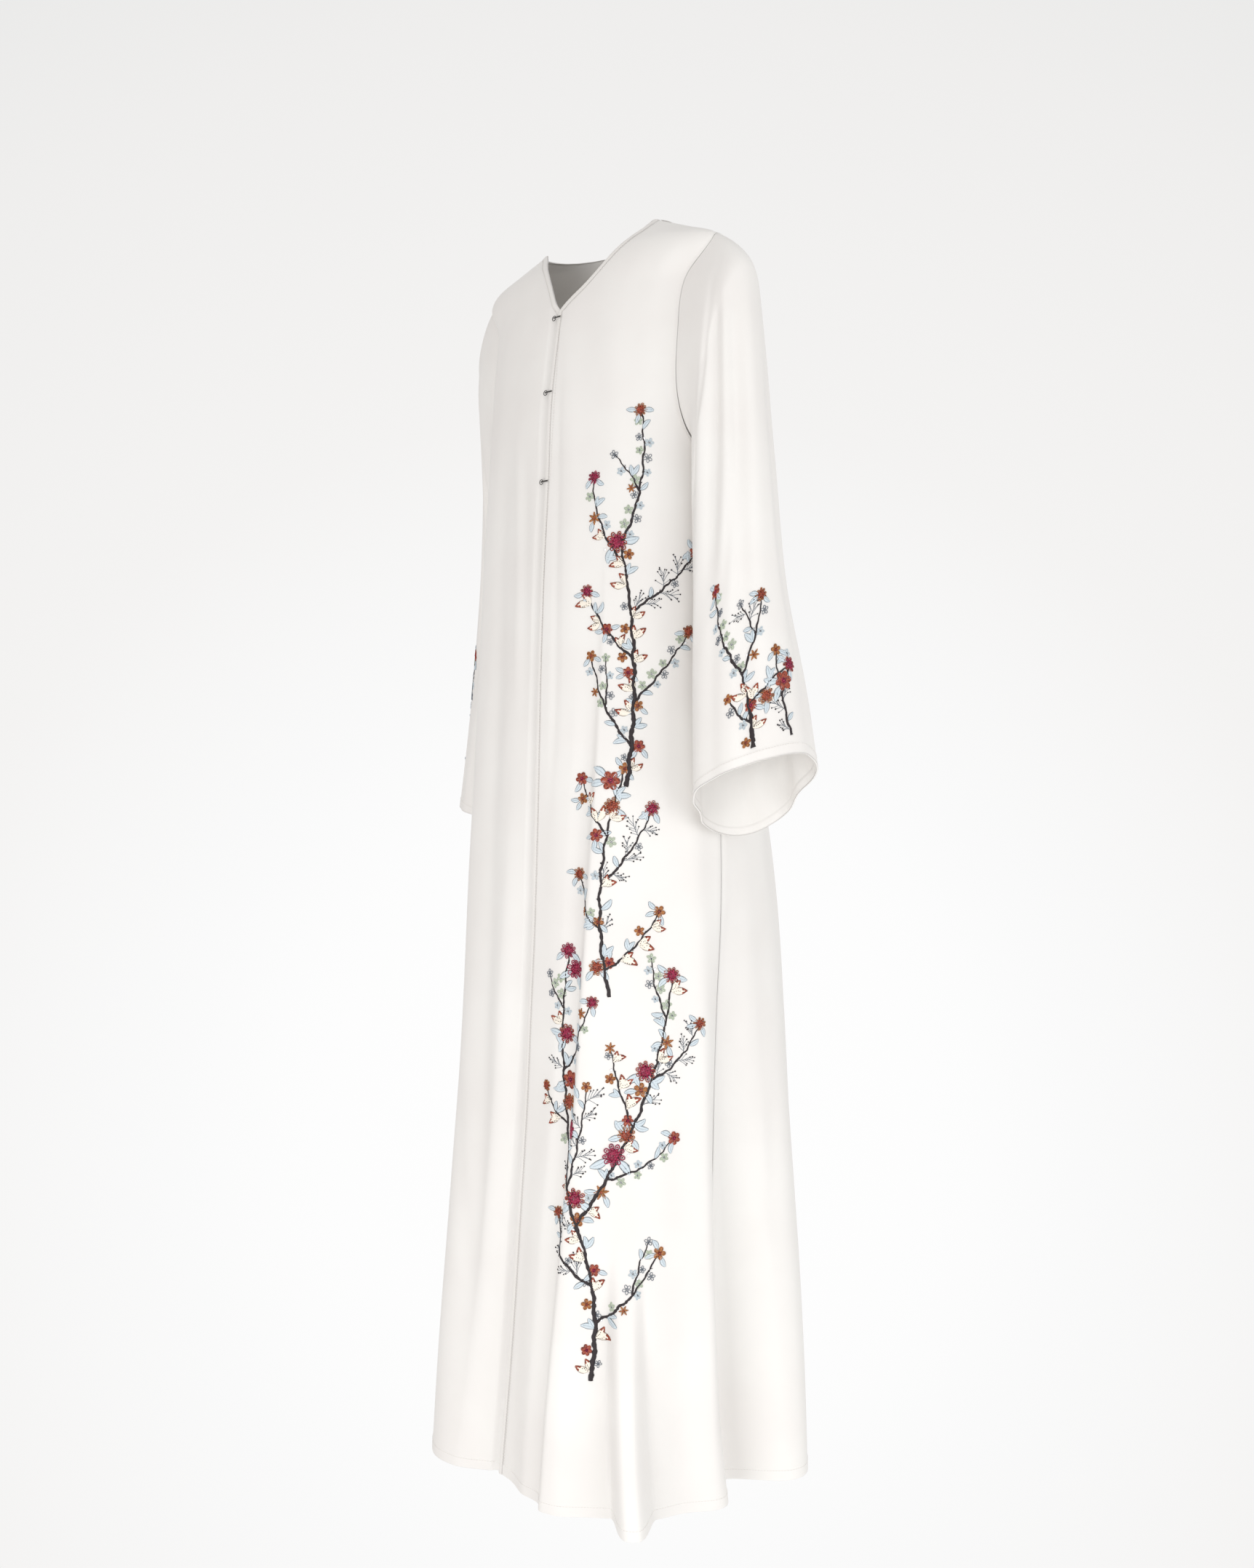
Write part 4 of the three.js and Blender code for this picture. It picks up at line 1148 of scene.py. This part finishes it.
def stem_line(surface, start, heading, length, bend, wide):
    """A stem's (a, b, width) points, one every 8 mm: the heading turns by bend over its
    length, with a waver of 9 degrees, and the width falls to 45% at the tip."""
    steps = max(3, round(length / 8))
    line, place = [(*start, wide)], start
    for k in range(1, steps + 1):
        angle = math.radians(heading + bend * (k - 0.5) / steps
                             + 9 * math.sin(1.7 * k + start[0]))
        place = at(surface, place, (length / steps * math.sin(angle),
                                    length / steps * math.cos(angle)))
        line.append((*place, wide * (1 - 0.55 * k / steps)))
    return line


def grow(work, surface, start, stem, taken, mirror=1):
    """Sews a stem and its tip, then the stems that branch from it, then what grows on it."""
    heading, length, bend, wide, choice, tip, branches = stem
    walk = twig(work, surface, stem_line(surface, start, mirror * heading, length,
                                         mirror * bend, 0.5 + 0.95 * wide))
    if tip:
        place, way, _ = walk(1.0)
        room(surface, taken, place, tip[1] / 2)
        bloom(work, surface, place, way, *tip, leafy=tip[1] > 12)
    for share, branch in branches:
        grow(work, surface, walk(share)[0], branch, taken, mirror)
    gap, cycle = SETS[choice]
    count, first = int(length / gap), int(rng.integers(len(cycle)))
    for k in range(count):
        base, way, thick = walk((k + 0.7 + rng.uniform(-0.15, 0.15)) / (count + 0.2))
        kind, size = cycle[(first + k) % len(cycle)]
        size *= rng.uniform(0.9, 1.12)
        side = mirror * (-1) ** k
        if kind in GROWING:
            if room(surface, taken, at(surface, base, polar(way + side * 0.9, 0.62 * size)),
                    0.36 * size):
                growth(work, base, way, side, thick, kind, size)
            continue
        out = 0.5 * size + thick / 2 if size < 13 else rng.uniform(0.1, 0.6) * size
        place = at(surface, base, polar(way + side * math.pi / 2, out))
        if room(surface, taken, place, size / 2):
            bloom(work, surface, place, way, kind, size, leafy=size > 13)
            if rng.random() < 0.3:
                sequin(work, place, polar(way - side * rng.uniform(0.5, 2.5), 0.62 * size + 2),
                       rng.uniform(1.5, 1.9))


# %% [markdown]
# ### The two arrangements
# On the left front three boughs climb beside the pleat, from a trunk 15 cm above the hem to
# the chest. Each cuff has a smaller one; the right one mirrors the left.

# %% Tables of stems
# ((angle, height) of the foot, (heading, length, bend, width, set, tip, side stems))
FRONT_BOUGHS = [
    ((34, -1336), (10, 178, -34, 4.8, "petal", None, [
        (0.36, (62, 112, -34, 2.6, "leafy", ("copper", 15), [
            (0.5, (12, 62, 14, 1.7, "pale", ("slate", 9), []))])),
        (0.6, (-60, 96, 44, 2.6, "berry", ("brick", 13), [])),
        (0.88, (-22, 328, 30, 2.9, "rich", ("magenta", 17), [
            (0.18, (14, 118, -8, 2.0, "berry", ("copper", 12), [])),
            (0.4, (-56, 52, 34, 1.7, "petal", ("brick", 12), [])),
            (0.58, (42, 96, -22, 1.9, "leafy", ("crimson", 14), [])),
            (0.8, (-44, 44, 26, 1.5, "pale", ("slate", 9), []))])),
        (0.98, (36, 304, -30, 3.2, "rich", ("crimson", 17), [
            (0.2, (78, 92, -38, 2.0, "pale", ("rust", 15), [])),
            (0.42, (-24, 92, 16, 1.9, "petal", ("star", 12), [])),
            (0.6, (66, 88, -44, 2.0, "berry", ("brick", 14), [])),
            (0.84, (-26, 70, 24, 1.6, "pale", ("sage", 10), []))]))])),
    ((38, -912), (-14, 262, 34, 3.2, "rich", ("copper", 14), [
        (0.12, (58, 92, -30, 2.2, "petal", ("copper", 14), [])),
        (0.3, (-50, 72, 36, 2.0, "leafy", ("brick", 14), [])),
        (0.48, (46, 106, -24, 2.2, "berry", ("crimson", 16), [])),
        (0.7, (-44, 78, 22, 1.9, "petal", ("rust", 15), []))])),
    ((43, -676), (8, 286, -20, 4.6, "petal", None, [
        (0.16, (-40, 118, 26, 2.4, "leafy", ("copper", 13), [
            (0.45, (4, 58, -12, 1.5, "pale", ("sage", 9), []))])),
        (0.33, (46, 104, -14, 2.2, "pale", ("brick", 14), [])),
        (0.52, (-52, 98, 30, 2.4, "petal", ("crimson", 15), [])),
        (0.7, (62, 104, -26, 2.2, "berry", ("rust", 15), [])),
        (0.9, (-44, 112, 44, 2.2, "rich", ("magenta", 14), [])),
        (0.97, (26, 158, -36, 2.4, "pale", ("brick", 14), [
            (0.4, (-26, 54, -18, 1.5, "leafy", ("slate", 9), []))]))]))]
CUFF_BOUGHS = [
    ((46, 0.972), (4, 92, -18, 4.2, "petal", None, [
        (0.3, (-50, 46, 34, 2.2, "leafy", ("copper", 11), [])),
        (0.5, (52, 66, 16, 2.2, "rich", ("crimson", 16), [])),
        (0.9, (34, 82, -20, 2.2, "leafy", ("brick", 13), [
            (0.5, (-14, 44, -10, 1.5, "berry", ("slate", 9), []))])),
        (0.98, (-30, 112, 30, 2.4, "pale", ("rust", 14), []))])),
    ((8, 0.966), (-12, 96, 14, 2.4, "berry", ("copper", 13), [
        (0.45, (30, 50, -20, 1.6, "pale", ("ice", 9), []))]))]

# %% [markdown]
# ### Sewing it on
# All flat shapes are drawn first and laid on the cloth together, one mesh for each family of
# motifs, because a few large meshes are quicker to make than thousands of small ones.

# %% Lay the embroidery
RIGHT_TURN = 30      # degrees by which the right sleeve's arrangement sits further outside
front_work, left_work, right_work = [], [], []
taken = []
for start, stem in FRONT_BOUGHS:
    grow(front_work, FRONT_SURFACE, start, stem, taken)
left_surface, right_surface = sleeve_surface(SLEEVE_LEFT), sleeve_surface(SLEEVE_RIGHT)
taken_left, taken_right = [], []
for start, stem in CUFF_BOUGHS:
    grow(left_work, left_surface, start, stem, taken_left)
    grow(right_work, right_surface, (start[0] - RIGHT_TURN, start[1]), stem, taken_right, -1)
print("motifs placed:", len(taken), len(taken_left), len(taken_right))
front_sewn = sewn_pieces("left_front", FRONT_SURFACE, front_work, PAINTS)
left_sewn = sewn_pieces("left_sleeve", left_surface, left_work, PAINTS)
right_sewn = sewn_pieces("right_sleeve", right_surface, right_work, PAINTS)

# %% [markdown]
# ## Stitching
# The hem and cuffs are held by a line of small stitches at the top of their turned-up cloth,
# and the binding by one along its inner side: 2.4 mm stitches, 3.4 mm apart.

# %% Stitches
STITCH, PITCH = 2.4, 3.4                    # mm
THREAD_LIFT, BINDING_TOP = 0.05, 0.75       # mm above the cloth, and above the panel
SEAM_THREAD = rayon("cream_sewing_thread", "#f1ede8", "#d9d4cf", 0.5)


def stitches(name, surface, line, lay):
    """One mesh of stitches along a line of places: arc length is measured by steps, and each
    stitch is turned to the line's own direction."""
    _, across, down = surface
    a, b = line
    ku, kv = across(a, b), down(a, b)
    steps = np.hypot(np.diff(a) * ku[1:], np.diff(b) * kv[1:])
    run = np.concatenate([[0], np.cumsum(steps)])
    where = np.arange(PITCH, run[-1] - PITCH, PITCH)
    thread = strip([(-STITCH / 2, 0), (0, 0), (STITCH / 2, 0)],
                   [0.12, 0.24, 0.12], [0.05, 0.3, 0.05])
    work = []
    for u, v, du, dv in zip(np.interp(where, run, a), np.interp(where, run, b),
                            np.interp(where, run, np.gradient(a) * ku),
                            np.interp(where, run, np.gradient(b) * kv)):
        sew(work, CREAM, (u, v), thread, math.atan2(dv, du))
    return laid(f"{name}_stitches", surface, lay, work, {CREAM: SEAM_THREAD})


def level(start, end, height, count=260):
    """A level line of places from one angle to another."""
    return np.linspace(start, end, count), np.full(count, height)


def on_hem(a, b, off):
    """The body with the hem's extra thickness, and the right front's dip under the left."""
    under = np.where(a < left_edge(np.maximum(b, HEM_Z)), dip(a, b), 0.0)
    return body_out(a, b, off + hem_thickness(b) + under + THREAD_LIFT)


def on_binding(a, b, off):
    """The same, on top of the binding."""
    return on_hem(a, b, off + BINDING_TOP)


def on_cuff(s):
    """The sleeve with the cuff's extra thickness."""
    return lambda a, b, off: sleeve_out(s, a, b, off + cuff_thickness(b) + THREAD_LIFT)


HEM_LINE, BINDING_LINE, CUFF_LINE = HEM_Z + HEM_FOLD - 1.1, BAND_W - 1.3, 0.9815
# row -8 is the one at the hem's stitches, column 5 the first one beside the binding
BODY_LINES = {
    "left_hem": (level(float(left_phi[-8, 5]) + 0.5, 89.6, HEM_LINE), on_hem),
    "right_hem": (level(float(right_phi[-8, 5]) - 0.5, -89.6, HEM_LINE), on_hem),
    "back_hem": (level(90.4, 269.6, HEM_LINE, 420), on_hem),
    "left_binding": (beside(left_edge, ROWS[4:-4], BINDING_LINE, 1), on_binding),
    "right_binding": (beside(right_edge, ROWS[4:-4], BINDING_LINE, -1), on_binding),
    "neck_binding": (level(97, 262, TOP_Z - BINDING_LINE, 120), on_binding)}
threads = {name: stitches(name, FRONT_SURFACE, line, lay)
           for name, (line, lay) in BODY_LINES.items()}
for name, surface, s in (("left_cuff", left_surface, SLEEVE_LEFT),
                         ("right_cuff", right_surface, SLEEVE_RIGHT)):
    threads[name] = stitches(name, surface, level(0, 359.5, CUFF_LINE), on_cuff(s))

# %% [markdown]
# ### Hooks and eyes
# Small hooks of bent wire, lacquered black, hold the fronts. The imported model's own solids
# have their shape, so they stay and only get a finish: dark, glossy and slightly mottled.

# %% Black hook wire
hook_metal, tree, shader = new_material("black_lacquered_wire")
place = add(tree, "TexCoord").outputs["Object"]
mottle = add(tree, "TexNoise", Vector=place, Scale=900.0, Detail=2.0).outputs[0]
tone_and_gloss(tree, shader, mottle, [(0.3, "#1f1d1c"), (0.7, "#3b3835")], mottle, 0.28, 0.45)
shader.inputs["Coat Weight"].default_value = 0.4
for name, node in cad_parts.items():
    if name.startswith(("hook", "eye")):
        node.data.materials.clear()
        node.data.materials.append(hook_metal)

# %% [markdown]
# ## The cloth's cuts
# Each panel hides the imported solid that it stands for. The flat size that it is cut to is
# listed in metres and printed beside the size drawn: its widest level and its longest side,
# hem turned up, and the area of the shaped cut.

# %% Pieces and their cut sizes
def longest(grid):
    """The longest row and the longest column of a grid of points, in metres."""
    row = np.linalg.norm(np.diff(grid, axis=1), axis=-1).sum(1).max()
    column = np.linalg.norm(np.diff(grid, axis=0), axis=-1).sum(0).max()
    return round(float(row) * MM, 3), round(float(column) * MM, 3)


for piece, node, slot in (
        (front_left, "front_left", "crepe"), (front_right, "front_right", "crepe"),
        (back, "back", "crepe"), (left_sleeve, "sleeve_left", "crepe"),
        (right_sleeve, "sleeve_right", "crepe"), (band_left, "band_left", "binding"),
        (band_right, "band_right", "binding"), (neckband, "neckband", "binding")):
    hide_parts(node)
# piece, (width, length) and area of its cut in m, what it hangs from, what is sewn on it
SHEETS = [
    (front_left, (0.45, 1.59), 0.395, [back],
     [band_left, *front_sewn, threads["left_hem"], threads["left_binding"]]),
    (front_right, (0.33, 1.59), 0.4, [back],
     [band_right, threads["right_hem"], threads["right_binding"]]),
    (back, (0.76, 1.59), 0.885, [],
     [neckband, threads["back_hem"], threads["neck_binding"]]),
    (left_sleeve, (0.55, 0.635), 0.2, [front_left, back],
     [*left_sewn, threads["left_cuff"]]),
    (right_sleeve, (0.55, 0.695), 0.19, [front_right, back],
     [*right_sewn, threads["right_cuff"]])]
theta, t = np.meshgrid(np.append(SLEEVE_THETA, 360.0), SLEEVE_T)
grids = (body(left_phi, left_z), body(right_phi, right_z), body(back_phi, back_z),
         sleeve_point(SLEEVE_LEFT, theta, t), sleeve_point(SLEEVE_RIGHT, theta, t))
for (piece, flat, area, hangs_from, sewn_on), grid in zip(SHEETS, grids):
    print(piece.name, "cut", flat, area, "drawn", longest(grid), round(cloth_area(grid), 3))
    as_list(hangs_from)
    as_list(sewn_on)

# %% [markdown]
# ## Floor and light
# A pale floor that fades into the white surroundings, a large soft light from the wearer's
# left, and a weaker one from the other side.

# %% Stage
def disc(name, radius, z, rings=24, spokes=96):
    """A flat round floor: rings of points at radius times share."""
    r = np.linspace(0, radius, rings + 1)[1:, None]
    a = np.radians(np.linspace(0, 360, spokes, endpoint=False))[None, :]
    pts = np.stack([r * np.cos(a), r * np.sin(a), np.full((rings, spokes), z)], -1)
    points = np.vstack([[[0, 0, z]], pts.reshape(-1, 3)])
    faces = [(0, 1 + k, 1 + (k + 1) % spokes) for k in range(spokes)]
    faces += quads(rings, spokes, True, 1)[:, ::-1].tolist()
    mesh = bpy.data.meshes.new(name)
    mesh.from_pydata(points.tolist(), [], faces)
    mesh.update()
    piece = bpy.data.objects.new(name, mesh)
    bpy.context.scene.collection.objects.link(piece)
    return piece


FLOOR_RADIUS, FLOOR_DROP = 6.0, 0.0015      # metres; the hem hangs just clear of it
floor = disc("floor", FLOOR_RADIUS, HEM_Z * MM - FLOOR_DROP)
floor_paint, tree, shader = new_material("matt_white_floor")
place = add(tree, "TexCoord").outputs["Object"]
away = add(tree, "VectorMath", {"operation": "LENGTH"}, i0=place).outputs["Value"]
shader.inputs["Base Color"].default_value = linear("#fdfbfa")
shader.inputs["Roughness"].default_value = 0.9
fade = add(tree, "MapRange", {"interpolation_type": "SMOOTHSTEP"}, i0=away, i1=0.5,
           i2=1.25).outputs[0]
clear = add(tree, "BsdfTransparent").outputs[0]
both = add(tree, "MixShader", i0=fade, i1=shader.outputs[0], i2=clear).outputs[0]
tree.links.new(both, tree.nodes["Material Output"].inputs["Surface"])
floor.data.materials.append(floor_paint)

world = bpy.data.worlds.new("studio")
bpy.context.scene.world = world
world.use_nodes = True
tree = world.node_tree
facing = add(tree, "TexCoord").outputs["Generated"]


def towards(x, y, z=0.0):
    """How far a direction of view points this way, from 0 to 1: (dot product + 1) / 2."""
    dot = add(tree, "VectorMath", {"operation": "DOT_PRODUCT"}, i0=facing, i1=(x, y, z))
    return add(tree, "MapRange", i0=dot.outputs["Value"], i1=-1.0, i2=1.0).outputs[0]


LOW = math.radians(12)      # the backdrop is brightest this far below eye level
behind = towards(-math.sin(AZIMUTH) * math.cos(LOW), math.cos(AZIMUTH) * math.cos(LOW),
                 -math.sin(LOW))
backdrop = ramp(tree, behind, [(0.85, "#e9e9e8"), (0.89, "#efeeed"), (0.95, "#f4f3f2"),
                               (0.98, "#fafafa"), (0.99, "#fdfdfd"), (1.0, "#fefefe")])
room_light = ramp(tree, towards(-math.cos(AZIMUTH), -math.sin(AZIMUTH)),
                  [(0.0, "#eeeeed"), (0.35, "#ececec"), (0.6, "#e6e5e4"), (1.0, "#cfccca")])
edge = add(tree, "MapRange", {"interpolation_type": "SMOOTHSTEP"}, i0=behind, i1=0.72,
           i2=0.84).outputs[0]
glow = add(tree, "Mix", {"data_type": "RGBA"}, i0=edge, i6=room_light, i7=backdrop).outputs[2]
tree.links.new(glow, tree.nodes["Background"].inputs["Color"])
tree.nodes["Background"].inputs["Strength"].default_value = 1.0


def area_light(name, place, target, width, height, power):
    """A rectangular soft light at `place`, turned to face `target`."""
    data = bpy.data.lights.new(name, "AREA")
    data.shape, data.size, data.size_y, data.energy = "RECTANGLE", width, height, power
    light = bpy.data.objects.new(name, data)
    light.location = place
    aim = Vector(target) - Vector(place)
    light.rotation_euler = aim.to_track_quat("-Z", "Y").to_euler()
    bpy.context.scene.collection.objects.link(light)


area_light("window", (2.3, -0.3, -0.95), (0, 0, -0.95), 1.5, 1.5, 12.1)
area_light("front_fill", (0.7, -2.3, -1.25), (0, 0, -1.05), 1.3, 0.9, 21.0)
bpy.context.scene.view_settings.view_transform = "Standard"
